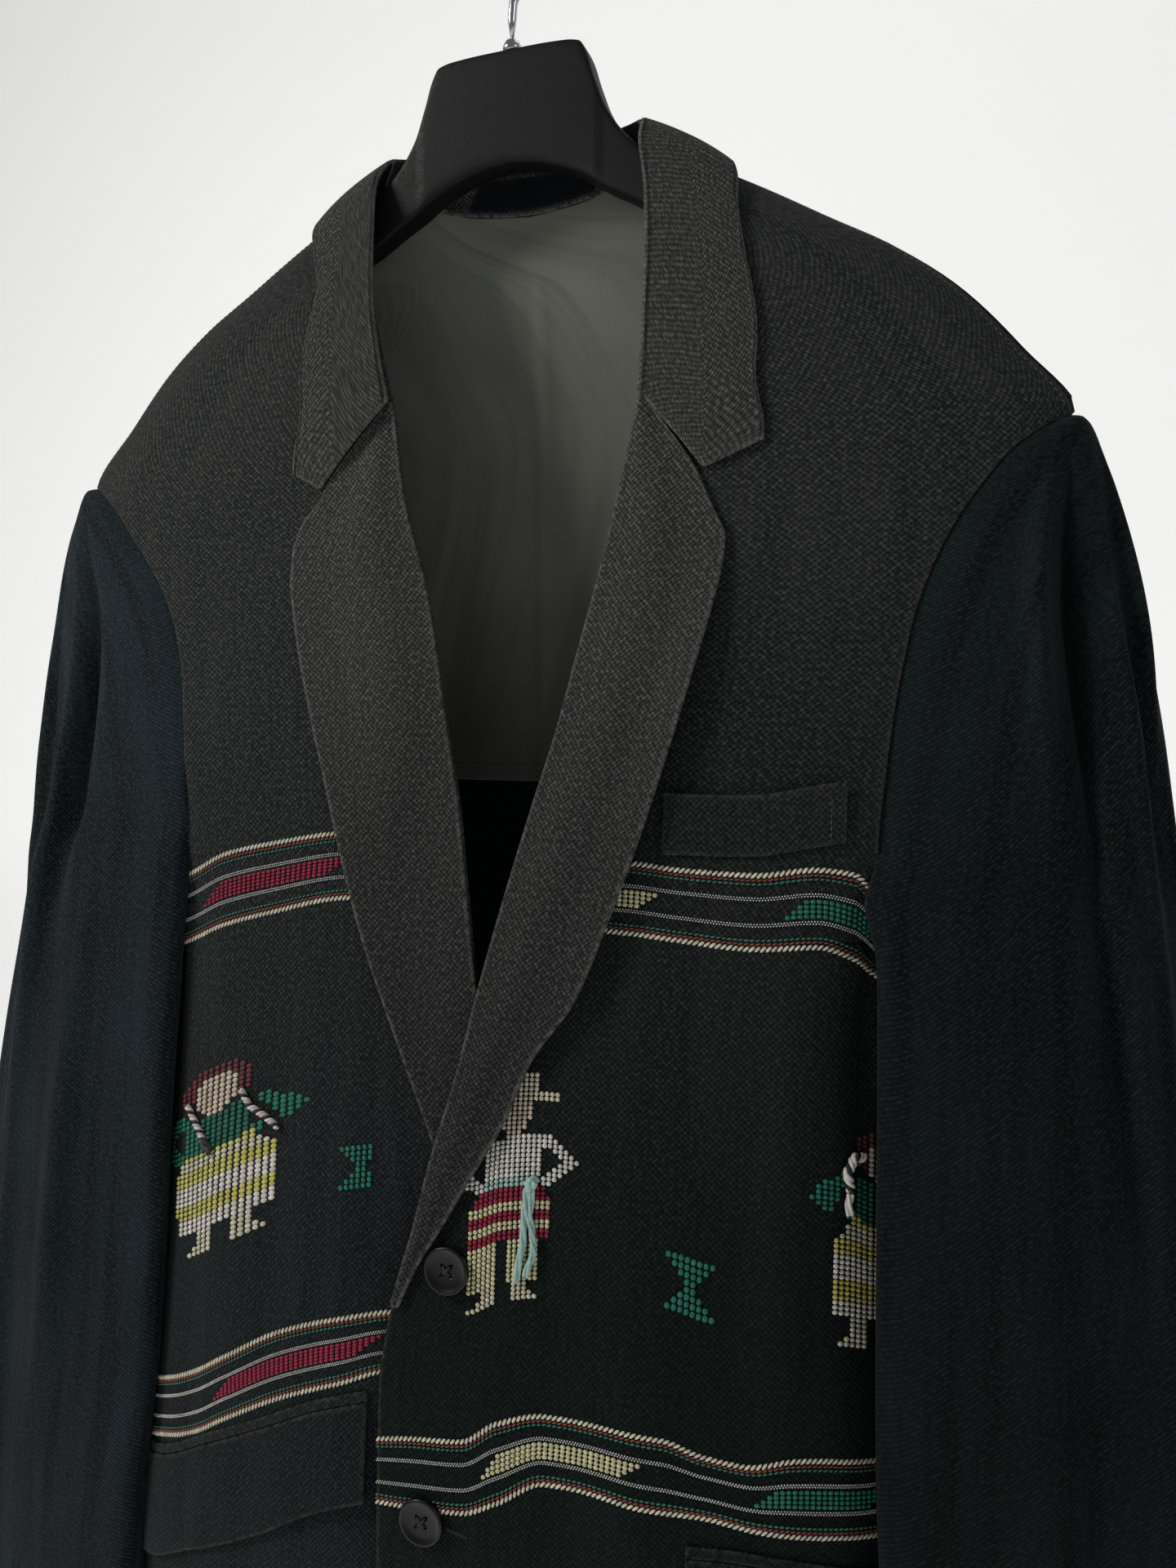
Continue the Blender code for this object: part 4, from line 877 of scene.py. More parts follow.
# %% Make the collar
s = np.concatenate([[0.0, 0.003, 0.008], np.linspace(0.016, 1.984, 190), [1.992, 1.997, 2.0]])
points = collar_fall(s[:, None], spread(30, 40.0)[None, :])
u, v = grid_lengths(points)
made, size = shell("collar_fall_cloth", points, grid_normals(points), LAYERED, COLLAR_CLOTH,
                   np.stack([v, u + 700], axis=-1))
cut(made, size, "collar_fall")
s = np.linspace(0.655, 1.345, 90)
points = collar_stand(s[:, None], spread(12, 32.0)[None, :])
u, v = grid_lengths(points)
made, size = shell("collar_stand_cloth", points, grid_normals(points), CLOTH, COLLAR_CLOTH,
                   np.stack([v, u + 600], axis=-1))
cut(made, size, "collar_stand")
s = np.linspace(0.885, 1.10, 30)
points = collar_stand(s[:, None], (0.46 + 0.48 * spread(10, 16.0))[None, :])
normals = grid_normals(points)
inward = -np.sign(np.median(normals[..., 1]))
made, size = shell("neck_label_cloth", points + inward * normals * (CLOTH / 2 + 0.5), normals, 0.6,
                   LABEL_CLOTH)
cut(made, size, "neck_label")
print("collar:", SHEETS[-3:])

# %% [markdown]
# ## The sleeves
# A tailored sleeve has two pieces: a wide one on top and a narrow one against the body. Eased into
# the armhole, the top piece breaks into folds at the shoulder that fade towards the elbow, and a
# pressed crease runs down its outer side.

# %% The sleeves' lines and folds
SLEEVE = (
    ("z", "outer_x", "outer_y", "front_x", "front_y", "back_x", "back_y"),
    (-262, 256, 0, 253, -4, 253, 4),
    (-266, 260, -1, 246, -12, 248, 12),
    (-277, 264.5, -2, 232, -18, 237, 18),
    (-292, 269.5, -3, 219, -24, 225, 22),
    (-330, 278, -4, 199, -34, 209, 26),
    (-393, 290, -6, 186, -46, 198, 28),
    (-430, 295, -7, 183, -51, 192, 28),
    (-466, 300, -8, 174.5, -57, 190, 28),
    (-500, 304, -10, 176, -60, 194, 30),
    (-560, 313, -14, 178, -64, 197, 29),
    (-620, 321, -18, 179, -67, 200, 26),
    (-700, 329, -24, 181, -71, 211, 20),
    (-780, 333, -30, 187, -72, 220, 11),
    (-862, 336, -34, 200, -70, 229, 0),
    (-915, 338, -37, 210, -70, 235, -7),
)
# The wearer's right sleeve is narrower: what is added to its outer and front lines
RIGHT_OUTER = (("z", "step"), (-262, -4), (-300, -4.5), (-350, -9), (-400, -13), (-600, -12), (-915, -9))
RIGHT_FRONT, RIGHT_EASED, RIGHT_FADE = -10.5, 0.6, (700, 790)
SLEEVE_SEAM_TOP, SLEEVE_END, SLEEVE_ROUNDNESS, SEAM_JOIN = -466.0, -915.0, 2.3, 30
# The under sleeve's hollow, its gap to the body, and the wider gap between two heights at the flap
UNDER_DEPTH, SLEEVE_STEP, UNDER_CLEAR, POCKET_CLEAR = 16.0, 1.0, 4.2, 3.6
POCKET_FROM, POCKET_TO = (690, 730), (840, 890)
# How far the front seam of the under sleeve is set back, out of sight
UNDER_SET = {1: 17.0, -1: 0.0}
SLEEVE_FOLDS = (
    ("share", "lean", "top", "bottom", "width", "height"),
    (0.20, 0.02, -262, -520, 0.035, -3.5),
    (0.27, 0.01, -264, -900, 0.05, 4.5),
    (0.36, -0.01, -270, -640, 0.035, -3.5),
    (0.46, 0.00, -300, -980, 0.04, 3.0),
    (0.13, 0.01, -430, -900, 0.045, 3.0),
    (0.60, 0.00, -300, -760, 0.05, -3.5),
    (0.70, 0.01, -320, -960, 0.05, 3.0),
    (0.84, -0.01, -380, -800, 0.05, -3.0),
)
SMALL_FOLDS = {
    1: (
        ("share", "lean", "top", "bottom", "width", "height"),
        (0.14, 0.025, -262, -430, 0.020, 3.0),
        (0.20, 0.030, -264, -470, 0.018, -3.2),
        (0.30, 0.020, -264, -560, 0.022, 2.6),
        (0.24, 0.010, -330, -700, 0.020, -2.2),
        (0.34, 0.005, -420, -820, 0.022, 1.8),
        (0.40, 0.000, -264, -420, 0.018, 2.2),
        (0.43, 0.000, -300, -900, 0.012, 1.4),
        (0.18, 0.004, -520, -930, 0.022, -1.8),
        (0.28, 0.004, -600, -960, 0.020, 1.6),
        (0.66, 0.000, -280, -700, 0.022, 2.0),
        (0.78, 0.004, -330, -860, 0.022, -1.8),
    ),
    -1: (
        ("share", "lean", "top", "bottom", "width", "height"),
        (0.16, 0.020, -262, -520, 0.020, -3.4),
        (0.22, 0.012, -264, -640, 0.020, 3.0),
        (0.29, 0.010, -290, -760, 0.020, -2.8),
        (0.37, 0.004, -264, -540, 0.020, 2.4),
        (0.42, 0.000, -320, -930, 0.012, 1.5),
        (0.12, 0.006, -420, -820, 0.022, 2.0),
        (0.25, 0.004, -560, -940, 0.020, 2.0),
        (0.33, 0.002, -600, -960, 0.020, -1.6),
        (0.64, 0.000, -300, -760, 0.022, -2.0),
        (0.76, 0.004, -300, -820, 0.022, 2.0),
    ),
}


def sleeve_ends(z, side):
    """The front and back ends of the top sleeve's section, and its outermost point."""
    read = {name: smooth(SLEEVE, name)(z) for name in SLEEVE[0][1:]}
    if side < 0:
        read["outer_x"] = read["outer_x"] + smooth(RIGHT_OUTER, "step")(z)
        read["front_x"] = read["front_x"] + RIGHT_FRONT * (1 - RIGHT_EASED * ease(*RIGHT_FADE, -z))
    above = z > SLEEVE_SEAM_TOP
    front = form(z, armhole_turn(z, side))
    back = form(z, armhole_turn(z, side, back=True))
    join = ease(-SEAM_JOIN, 0, SLEEVE_SEAM_TOP - z)
    ends = []
    for name, seam in (("front", front), ("back", back)):
        away = -SLEEVE_STEP if name == "front" else SLEEVE_STEP
        for axis, place, step in (("_x", side * seam[..., 0], SLEEVE_STEP), ("_y", seam[..., 1], away)):
            below = read[name + axis]
            ends.append(np.where(above, (place + step) * (1 - join) + below * join, below))
    return (*ends, read["outer_x"], read["outer_y"])


def top_sleeve(z, share, side):
    """The top sleeve: share 0 is its front seam, 0.5 its outermost line and 1 its back seam."""
    z, share = np.broadcast_arrays(np.asarray(z, float), np.asarray(share, float))
    front_x, front_y, back_x, back_y, outer_x, outer_y = sleeve_ends(z, side)
    front = share < 0.5
    angle = np.radians(180 * np.abs(share - 0.5))
    across = np.maximum(np.cos(angle), 0) ** (2 / SLEEVE_ROUNDNESS)
    deep = np.maximum(np.sin(angle), 0) ** (2 / SLEEVE_ROUNDNESS)
    end_x = np.where(front, front_x, back_x)
    end_y = np.where(front, front_y, back_y)
    x = end_x + (outer_x - end_x) * across
    y = outer_y + (end_y - outer_y) * deep
    return np.stack([x, y, z], axis=-1)


def under_sleeve(z, share, side):
    """The under sleeve, which hangs against the body's side, from the front seam to the back one."""
    z, share = np.broadcast_arrays(np.asarray(z, float), np.asarray(share, float))
    front_x, front_y, back_x, back_y, _, _ = sleeve_ends(z, side)
    front_y = front_y + UNDER_SET[side]
    bow = np.sin(math.pi * share)
    x = front_x * (1 - share) + back_x * share - UNDER_DEPTH * bow
    y = front_y + (back_y - front_y) * (1 - np.cos(math.pi * share)) / 2
    clear = UNDER_CLEAR + POCKET_CLEAR * ease(*POCKET_FROM, -z) * (1 - ease(*POCKET_TO, -z))
    depth = np.where(y < 0, FRONT(z), BACK(z)) + clear
    power = ROUND(z)
    flank = np.maximum(1 - np.minimum(np.abs(y) / depth, 1) ** power, 0) ** (1 / power)
    held = (half_width(z, side) + clear) * flank
    return np.stack([np.maximum(x, held), y, z], axis=-1)


FOLD_DEPTH = 2.8


def folded_sleeve(z, share, side):
    """The top sleeve with its folds, along its own outward direction."""
    place = top_sleeve(z, share, side)
    out = outward(lambda a, b: top_sleeve(a, b, side), z, share, 0.01)
    height = (folds(SLEEVE_FOLDS, share, place[..., 2])
              + FOLD_DEPTH * folds(SMALL_FOLDS[side], share, place[..., 2]))
    return place + out * height[..., None]


CAP_TUCK, CAP_DROP, CAP_SLOPE, EDGE_ROUND = 5.0, 2.6, 9.0, 7.0
CAP_POINT = (246.0, 0.0, -264.5)
# How far the sleeve's front edge laps over the front, below the place where it leaves the seam
OVERLAP = {
    1: (("z", "lap"), (-430, 0), (-480, -6.0), (-560, -5.0), (-700, -4.5), (-915, -3.0)),
    -1: (("z", "lap"), (-385, 0), (-420, 5.5), (-450, 9.5), (-520, 9.0), (-600, 6.0), (-680, 3.0),
         (-760, 0)),
}
# Where the cap's front and back edges come out from under the armhole
LAP_LEAVES = {1: (450.0, 490.0), -1: (385.0, 430.0)}
BACK_LEAVES = (450.0, 490.0)
LAP_LIFT, LAP_LIFT_FROM, LAP_REACH = 3.0, 6, 26.0


def seated_sleeve(points, side):
    """The cap goes under the armhole's edge, and below it the front and back edges are rounded."""
    across, _ = grid_lengths(points)
    seated = points.copy()
    front_cap, back_cap = (1 - ease(*leaves, -points[..., 2]) for leaves in (LAP_LEAVES[side], BACK_LEAVES))
    lap = smooth(OVERLAP[side], "lap")(points[..., 2]) * (1 - ease(0, LAP_REACH, across))
    seated[..., 0] -= lap
    seated[..., 1] -= LAP_LIFT * np.clip(lap / LAP_LIFT_FROM, 0, 1) * (1 - front_cap)
    for distance, inward, held in ((across, 1.0, front_cap), (across[:, -1:] - across, -1.0, back_cap)):
        near = 1 - ease(0, CAP_SLOPE, distance)
        seated[..., 0] -= CAP_TUCK * near * held
        seated[..., 1] += inward * CAP_DROP * near * held
        short = np.clip(1 - distance / EDGE_ROUND, 0, 1)
        bend = EDGE_ROUND * (1 - np.sqrt(1 - short ** 2))
        seated[..., 1] += inward * bend * (1 - held)
    seated[0] = seated[1] * 0.1 + np.array(CAP_POINT) * 0.9
    return seated


UNDER_BACK, UNDER_IN, UNDER_SLOPE = 9.0, 3.5, 16.0


def seated_under(points):
    """The under sleeve's two edges lie inside the top sleeve's rounded ones."""
    across, _ = grid_lengths(points)
    seated = points.copy()
    for distance, inward in ((across, 1.0), (across[:, -1:] - across, -1.0)):
        near = 1 - ease(0, UNDER_SLOPE, distance)
        seated[..., 0] += UNDER_IN * near
        seated[..., 1] += inward * UNDER_BACK * near
    return seated


def sleeve_piece(node, points, side, facing):
    """Makes a piece of a sleeve, mirrored on the right. It faces away from the body, or with -1 to it."""
    flip = np.array([side, 1, 1])
    normals = grid_normals(points) * flip
    normals = normals * np.sign(np.median(normals[..., 0]) * side * facing)
    made, size = shell(node + "_cloth", points * flip, normals, CLOTH, SLEEVE_CLOTH_LIT_AND_SHADED[side])
    cut(made, size, node)


# %% Make the sleeves
CUFF_ROWS = ((-913.8, 1), (-914.5, 1), (SLEEVE_END, 1))
TOP_ROWS = heights(-262.4, (-262.9, 1), (-263.8, 1), (-272, 8), (-300, 12), (-466, 40), (-912, 96),
                   *CUFF_ROWS)[:, None]
UNDER_ROWS = heights(SLEEVE_SEAM_TOP - 1, (-500, 10), (-912, 80), *CUFF_ROWS)[:, None]
TOP_SHARE = 0.002 + 0.996 * spread(110, 300.0)[None, :]
UNDER_SHARE = 0.01 + 0.98 * spread(44, 120.0)[None, :]
for side, word in ((1, "left"), (-1, "right")):
    points = seated_sleeve(folded_sleeve(TOP_ROWS, TOP_SHARE, side), side)
    sleeve_piece("sleeve_%s_top" % word, points, side, 1)
    points = seated_under(under_sleeve(UNDER_ROWS, UNDER_SHARE, side))
    sleeve_piece("sleeve_%s_under" % word, points, side, -1)
print("sleeves:", SHEETS[-4:])

# %% [markdown]
# ## The half lining
# Inside the back, a smooth lining hangs from the neck seam to a stitched hem at mid back, with a
# narrow pleat down its centre that lets the shoulders move.

# %% The lining
LINING_EDGE = (("z", "turn"), (-122, 106), (-139, 112), (-170, 118), (-262, 125), (-330, 129), (-423, 132))
LINING_TOP = (("x", "z"), (0, -136.5), (35, -133.5), (60, -127.5), (70, -125.5), (90, -134), (140, -160))
LINING_DROP, LINING_END, LINING_START = 3.4, -421.0, -139.0
# The centre pleat's fold and the hollow beside it: turn, width and height
PLEAT = ((178.6, 1.0, 2.2), (180.8, 0.8, -1.6))


def lining_lift(rows, turn):
    """The lining hangs just inside the back, with a pleat and soft waves."""
    pleat = sum(height * np.exp(-(((turn - middle) / width) ** 2)) for middle, width, height in PLEAT)
    wave = 1.0 * np.sin(np.radians(turn - 180) * 22 + 0.8) + 0.7 * np.sin(np.radians(turn) * 37 + rows / 60)
    return -LINING_DROP - pleat * ease(150, 240, -rows) - wave * ease(200, 400, -rows)


share = spread(130, 200.0)[None, :]
down = spread(84, 290.0)[:, None]
rows = LINING_START + (LINING_END - LINING_START) * down + 0 * share
edge = smooth(LINING_EDGE, "turn")(rows)
turn = edge * (1 - share) + (360 - edge) * share
x = np.abs(form(rows, turn)[..., 0])
rows = smooth(LINING_TOP, "z")(x) * (1 - down) + LINING_END * down
points, normals = on_body(rows, turn, lining_lift(rows, turn))
made, size = shell("back_lining_cloth", points, normals, LINING, LINING_CLOTH)
cut(made, size, "back_lining")

# %% [markdown]
# ## The pockets
# The breast welt gapes a little, and the flaps hang from narrow jets. Each is a patch of the fronts'
# own cloth, laid on the front between the top and bottom lines measured on the photograph.

# %% Pocket pieces
WELT = (
    ("x", "top", "bottom"),
    (93, -419, -445), (112, -419.5, -445), (133, -419, -444.5), (150, -416, -441.5), (163, -413.5, -439),
    (169, -413, -438),
)
FLAP_RIGHT = (
    ("x", "top", "bottom"),
    (-185, -771, -824), (-172, -766, -818), (-150, -754, -804), (-127, -740, -791), (-93, -722, -772),
    (-62, -706, -752), (-46, -700, -745), (-36, -697, -742),
)
FLAP_LEFT = (
    ("x", "top", "bottom"),
    (112, -735, -790), (130, -736, -792), (150, -739, -796), (172, -745, -802), (188, -751, -808),
    (197, -757, -814),
)
JET, FLAP_STAND, WELT_GAPE = 5.0, 1.4, 1.2


def patch(name, table, columns, rows, lift, thick, under):
    """A piece laid on a front, between the top and bottom of its table."""
    xs = [row[0] for row in table[1:]]
    x = (min(xs) + (max(xs) - min(xs)) * spread(columns, max(xs) - min(xs)))[None, :]
    share = spread(rows, abs(table[1][2] - table[1][1]))[:, None]
    top, bottom = smooth(table, "top")(x), smooth(table, "bottom")(x)
    z, places = np.broadcast_arrays(top * (1 - share) + bottom * share, x)
    turn = turn_at(z, places)
    raised = lift(share, x) + (CLOTH + thick) / 2 + SEAM
    points, normals = on_body(z, turn, raised + under * underlap(z, turn))
    return shell(name, points, normals, thick, FRONT_CLOTH_LIT_AND_SHADED[-1 if max(xs) < 0 else 1],
                 np.stack([places + 400, UV_BASE + z], axis=-1))


def strip_above(table, height):
    """The table of a strip that lies just above another piece."""
    return (table[0], *[(x, top + height + SEAM, top + SEAM) for x, top, _ in table[1:]])


def flap_lift(share, x):
    """A flap's lower edge stands off, and one corner lifts."""
    return FLAP_STAND * share + 1.2 * share ** 2 * np.exp(-(((np.abs(x) - 60) / 30) ** 2))


def flat_lift(share, x):
    """Lies flat on the front."""
    return 0 * share * x


def welt_lift(share, x):
    """The welt's open top gapes."""
    return WELT_GAPE * (1 - share) ** 2 + 0 * x


made, size = patch("breast_welt_cloth", WELT, 34, 12, welt_lift, 1.6, 0.0)
cut(made, size, "breast_welt")
for word, table, under in (("right", FLAP_RIGHT, 1.0), ("left", FLAP_LEFT, 0.0)):
    jet, _ = patch("pocket_jet_%s_cloth" % word, strip_above(table, JET), 60, 4, flat_lift, 1.0, under)
    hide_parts("pocket_jet_" + word)
    made, size = patch("pocket_flap_%s_cloth" % word, table, 60, 22, flap_lift, 1.8, under)
    cut(made, size, "pocket_flap_" + word)
print("pockets:", SHEETS[-3:])

# %% [markdown]
# ## The brocade
# The coloured parts are extra threads woven in by hand. Each float of thread lies on the cloth like
# a small bead, so one soft bead is placed on thousands of points: Geometry Nodes reads each point's
# direction, size and colour. The bands, blocks and hourglasses are traditional and follow the
# photograph. The people are of the same traditional kind, charted here, with blank faces.

# %% A bead of thread on every point
THREADS = {
    "c": "ece4cc", "t": "8e4a40", "g": "1f7a62", "w": "ebe6dc", "r": "a02240", "h": "6a2c34", "f": "dccab8",
    "y": "d4cc72", "k": "e0dac0", "b": "b2d2ca", "s": "e2dcb0", "p": "d8bcbc", "d": "1b1d20", "n": "15181a",
    "G": "1a6a55", "e": "3d7a66", "W": "f4f2ec", "m": "3a3c3f", "q": "5f5f58", "l": "2d2f2d", "o": "26282b",
}
rng = np.random.default_rng(7)


def thread_material():
    """Stranded embroidery cotton: the point's own colour, with fine fibres and a soft shine."""
    made, tree, shader = blank_material("embroidery_cotton", 0.62)
    colour = add_node(tree, "ShaderNodeAttribute", attribute_name="thread")
    place = add_node(tree, "ShaderNodeTexCoord")
    fibre = add_node(tree, "ShaderNodeTexNoise", {"Vector": place.outputs["Object"], "Scale": 1900.0,
                                                  "Detail": 2.0})
    shade = add_node(tree, "ShaderNodeMapRange", {0: fibre.outputs[0], 1: 0.3, 2: 0.7, 3: 0.62, 4: 1.0})
    mixed = add_node(tree, "ShaderNodeVectorMath", {0: shade.outputs[0], 1: colour.outputs[0]},
                     operation="MULTIPLY")
    tree.links.new(mixed.outputs[0], shader.inputs["Base Color"])
    bump = add_node(tree, "ShaderNodeBump", {"Strength": 0.4, "Distance": 0.0003,
                                             "Height": fibre.outputs[0]})
    tree.links.new(bump.outputs[0], shader.inputs["Normal"])
    shader.inputs["Specular IOR Level"].default_value = 0.35
    return made


THREAD = thread_material()


def stitch_tree():
    """Geometry Nodes: a soft bead on each point, turned along the thread and out from the cloth."""
    tree = bpy.data.node_groups.new("stitches", "GeometryNodeTree")
    tree.interface.new_socket("Points", in_out="INPUT", socket_type="NodeSocketGeometry")
    for name, count in (("Sides", 6), ("Rings", 4)):
        made = tree.interface.new_socket(name, in_out="INPUT", socket_type="NodeSocketInt")
        made.default_value = count
        made.min_value = 3
    tree.interface.new_socket("Finish", in_out="INPUT", socket_type="NodeSocketMaterial")
    tree.interface.new_socket("Stitches", in_out="OUTPUT", socket_type="NodeSocketGeometry")
    given = add_node(tree, "NodeGroupInput")
    bead = add_node(tree, "GeometryNodeMeshUVSphere", {"Segments": given.outputs["Sides"],
                                                       "Rings": given.outputs["Rings"], "Radius": 1.0})
    soft = add_node(tree, "GeometryNodeSetShadeSmooth", {0: bead.outputs[0]})
    read = [add_node(tree, "GeometryNodeInputNamedAttribute", {"Name": name}, data_type="FLOAT_VECTOR")
            for name in ("along", "facing", "size")]
    along = add_node(tree, "FunctionNodeAlignRotationToVector", {"Vector": read[0].outputs[0]}, axis="X")
    turned = add_node(tree, "FunctionNodeAlignRotationToVector",
                      {"Rotation": along.outputs[0], "Vector": read[1].outputs[0]}, axis="Z", pivot_axis="X")
    placed = add_node(tree, "GeometryNodeInstanceOnPoints",
                      {"Points": given.outputs["Points"], "Instance": soft.outputs[0],
                       "Rotation": turned.outputs[0], "Scale": read[2].outputs[0]})
    real = add_node(tree, "GeometryNodeRealizeInstances", {0: placed.outputs[0]})
    painted = add_node(tree, "GeometryNodeSetMaterial", {0: real.outputs[0],
                                                         "Material": given.outputs["Finish"]})
    add_node(tree, "NodeGroupOutput", {0: painted.outputs[0]})
    return tree


STITCHES = stitch_tree()


def sew(name, stitches):
    """Turns rows of stitches, each (places, along, facing, size, colour), into one piece."""
    columns = [np.concatenate([np.atleast_2d(row[k]) for row in stitches]) for k in range(5)]
    mesh = bpy.data.meshes.new(name + "_points")
    mesh.from_pydata(columns[0] * MM, [], [])
    for key, kind, values in (("along", "FLOAT_VECTOR", columns[1]), ("facing", "FLOAT_VECTOR", columns[2]),
                              ("size", "FLOAT_VECTOR", columns[3] * MM),
                              ("thread", "FLOAT_COLOR", columns[4])):
        kept = mesh.attributes.new(key, kind, "POINT")
        field = "color" if kind == "FLOAT_COLOR" else "vector"
        kept.data.foreach_set(field, values.astype(np.float32).ravel())
    source = bpy.data.objects.new(name + "_points", mesh)
    scene.collection.objects.link(source)
    modifier = source.modifiers.new("stitches", "NODES")
    modifier.node_group = STITCHES
    inputs = {item.name: item.identifier for item in STITCHES.interface.items_tree
              if item.in_out == "INPUT"}
    modifier[inputs["Sides"]] = 6
    modifier[inputs["Rings"]] = 4
    modifier[inputs["Finish"]] = THREAD
    ready = source.evaluated_get(bpy.context.evaluated_depsgraph_get())
    result = bpy.data.meshes.new_from_object(ready)
    result.name = name
    source.modifiers.clear()
    made = bpy.data.objects.new(name, result)
    scene.collection.objects.link(made)
    bpy.data.objects.remove(source)
    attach(made, "root")
    print(name, len(columns[0]), "stitches")
    return made


def dye(letter, count):
    """The colour of a thread, a little different on each of its floats."""
    shade = rng.uniform(0.8, 1.08, (count, 1))
    return np.concatenate([np.array(linear(THREADS[letter])[:3]) * shade, np.ones((count, 1))], axis=1)


# %% The bands' lines on the two fronts
BANDS = {
    ("right", "upper"): (
        ("x", "top", "bottom"),
        (-206, -482, -520), (-176, -473, -509), (-152, -463, -500), (-131, -453, -491), (-100, -446, -482),
        (-63, -440, -473), (-20, -437, -469),
    ),
    ("right", "lower"): (
        ("x", "top", "bottom"),
        (-206, -741, -778), (-177, -728, -760), (-141, -709, -742), (-117, -693, -726), (-84, -673, -707),
        (-50, -660, -692), (-25, -654, -683), (22, -650, -682),
    ),
    ("left", "upper"): (
        ("x", "top", "bottom"),
        (26, -451, -478), (79, -448, -480), (102, -450, -482), (133, -451, -484.5), (158, -448, -483),
        (172, -449.5, -488), (184, -461, -497), (208, -468, -504),
    ),
    ("left", "lower"): (
        ("x", "top", "bottom"),
        (-30, -710, -741), (-12, -706, -739.5), (13, -702, -736.5), (29, -691, -729), (51, -684.5, -716.5),
        (80, -684, -716), (101, -685, -717.5), (118, -691.5, -719), (136, -695, -723), (153, -692, -726),
        (184, -697, -731), (208, -702, -736),
    ),
}
# Each row in the upper half of a band: its place in the band's height, half its floats' length and
# width in mm, its pitch, its slant in degrees and its thread. The lower half mirrors them.
HALF_BAND = (
    (0.042, 1.85, 0.70, 2.35, 43, "c"),
    (0.103, 1.35, 0.45, 2.35, 20, "t"),
    (0.150, 1.15, 0.50, 2.35, 16, "e"),
    (0.322, 0.36, 0.34, 1.25, 25, "W"),
    (0.350, 0.36, 0.34, 1.25, 25, "W"),
)
BAND_ROWS = HALF_BAND + tuple((round(1 - row[0], 3), *row[1:]) for row in HALF_BAND[::-1])
STAGGERED = (0.322, 0.650)
FLOAT_HEIGHT = 0.5
SEAM_TURN, BAND_REACH = 88.5, 203.5


def front_point(word, x, z, lift):
    """Points on a front's outer face, with the way out of the cloth."""
    turn = turn_at(z, x)
    under = underlap(z, turn) if word == "right" else 0.0
    return on_body(z, turn, CLOTH / 2 + under + lift)


def paced(word, x0, x1, line, pitch):
    """Places along X that lie a pitch apart on the cloth, along a line z of x."""
    x = np.linspace(x0, x1, 600)
    points, _ = front_point(word, x, line(x), 0.0)
    along = travelled(points)
    return np.interp(np.arange(pitch / 2, along[-1], pitch), along, x)


def lay(word, x, line, size, slant, letters, lift=0.25):
    """A row of stitches along a line on a front: size is half a float's length, width and height."""
    z = line(x)
    points, facing = front_point(word, x, z, lift)
    ahead, _ = front_point(word, x + 0.5, line(x + 0.5), lift)
    weft = unit(ahead - points)
    up = np.cross(facing, weft) * -1
    up = up * np.sign(up[:, 2:3])
    angle = math.radians(slant)
    along = weft * math.cos(angle) + up * math.sin(angle)
    count = len(x)
    half = np.broadcast_to(np.array(size), (count, 3)) * rng.uniform(0.93, 1.07, (count, 3))
    colour = np.concatenate([dye(letter, count // len(letters)) for letter in letters])
    return points, along, facing, half, colour


# %% The blocks, charts and hourglasses
# Each block: band, place of its left end and its right end, rows and thread
BLOCKS = (
    ("right", "upper", -145, -57, 5, "r"),
    ("right", "lower", -125, -30, 5, "r"),
    ("right", "upper", -204, -172, 5, "g"),
    ("left", "upper", 48, 92, 4, "s"),
    ("left", "upper", 145, 200, 4, "g"),
    ("left", "lower", 22, 94, 4, "s"),
    ("left", "lower", 139, 190, 4, "g"),
)
BEAD_ACROSS = {"left": 2.6, "right": 3.05}
BLOCK_TOP, BLOCK_BOTTOM, BAND_HEIGHT = 0.385, 0.615, 35.0


def rows_of(*counted):
    """A chart's rows from (how many alike, the row)."""
    return tuple(row for count, row in counted for _ in range(count))


WOMAN = rows_of(
    (1, ".......hhhhhhh.........."),
    (1, "......hhhhhhhhh........."),
    (1, ".....hhhfffffhhh........"),
    (3, "....hhhfffffffhh........"),
    (1, ".......fffffffhh........"),
    (1, ".......fffffff.........."),
    (1, "..ggg...fffff..........."),
    (1, ".gggggg..fff.GGG.gg....."),
    (1, ".gggggggGGGGGGGG.ggg...."),
    (1, "ggg..gggGGGGGGGG..gggg.."),
    (1, "gg...gggGGGGGGGG...gggg."),
    (1, "gg...gggGGGGGGGG...ggggg"),
    (1, "ggg..gggGGGGGGGG....ggg."),
    (1, "gggg.gggGGGGGGGGgg..gg.."),
    (1, ".gggggggGGGGGGGyyg......"),
    (1, "..gggyyyyyyyyyyyy......."),
    (1, "....kkkkkkkkkkkkkk......"),
    (1, "....kkkkkkkkkkkkkkk....."),
    (3, "...yyyyyyyyyyyyyyyyy...."),
    (4, "...wwwwwwwwwwwwwwwww...."),
    (2, "...yyyyyyyyyyyyyyyyy...."),
    (1, "....yyyyyyyyyyyyyyyy...."),
    (3, "....wwwwwwwwwwwwwwww...."),
    (3, "........kkk...kkk......."),
    (1, ".......kkkk...kkkk......"),
    (1, "......kkkkk...kkkkk....."),
)
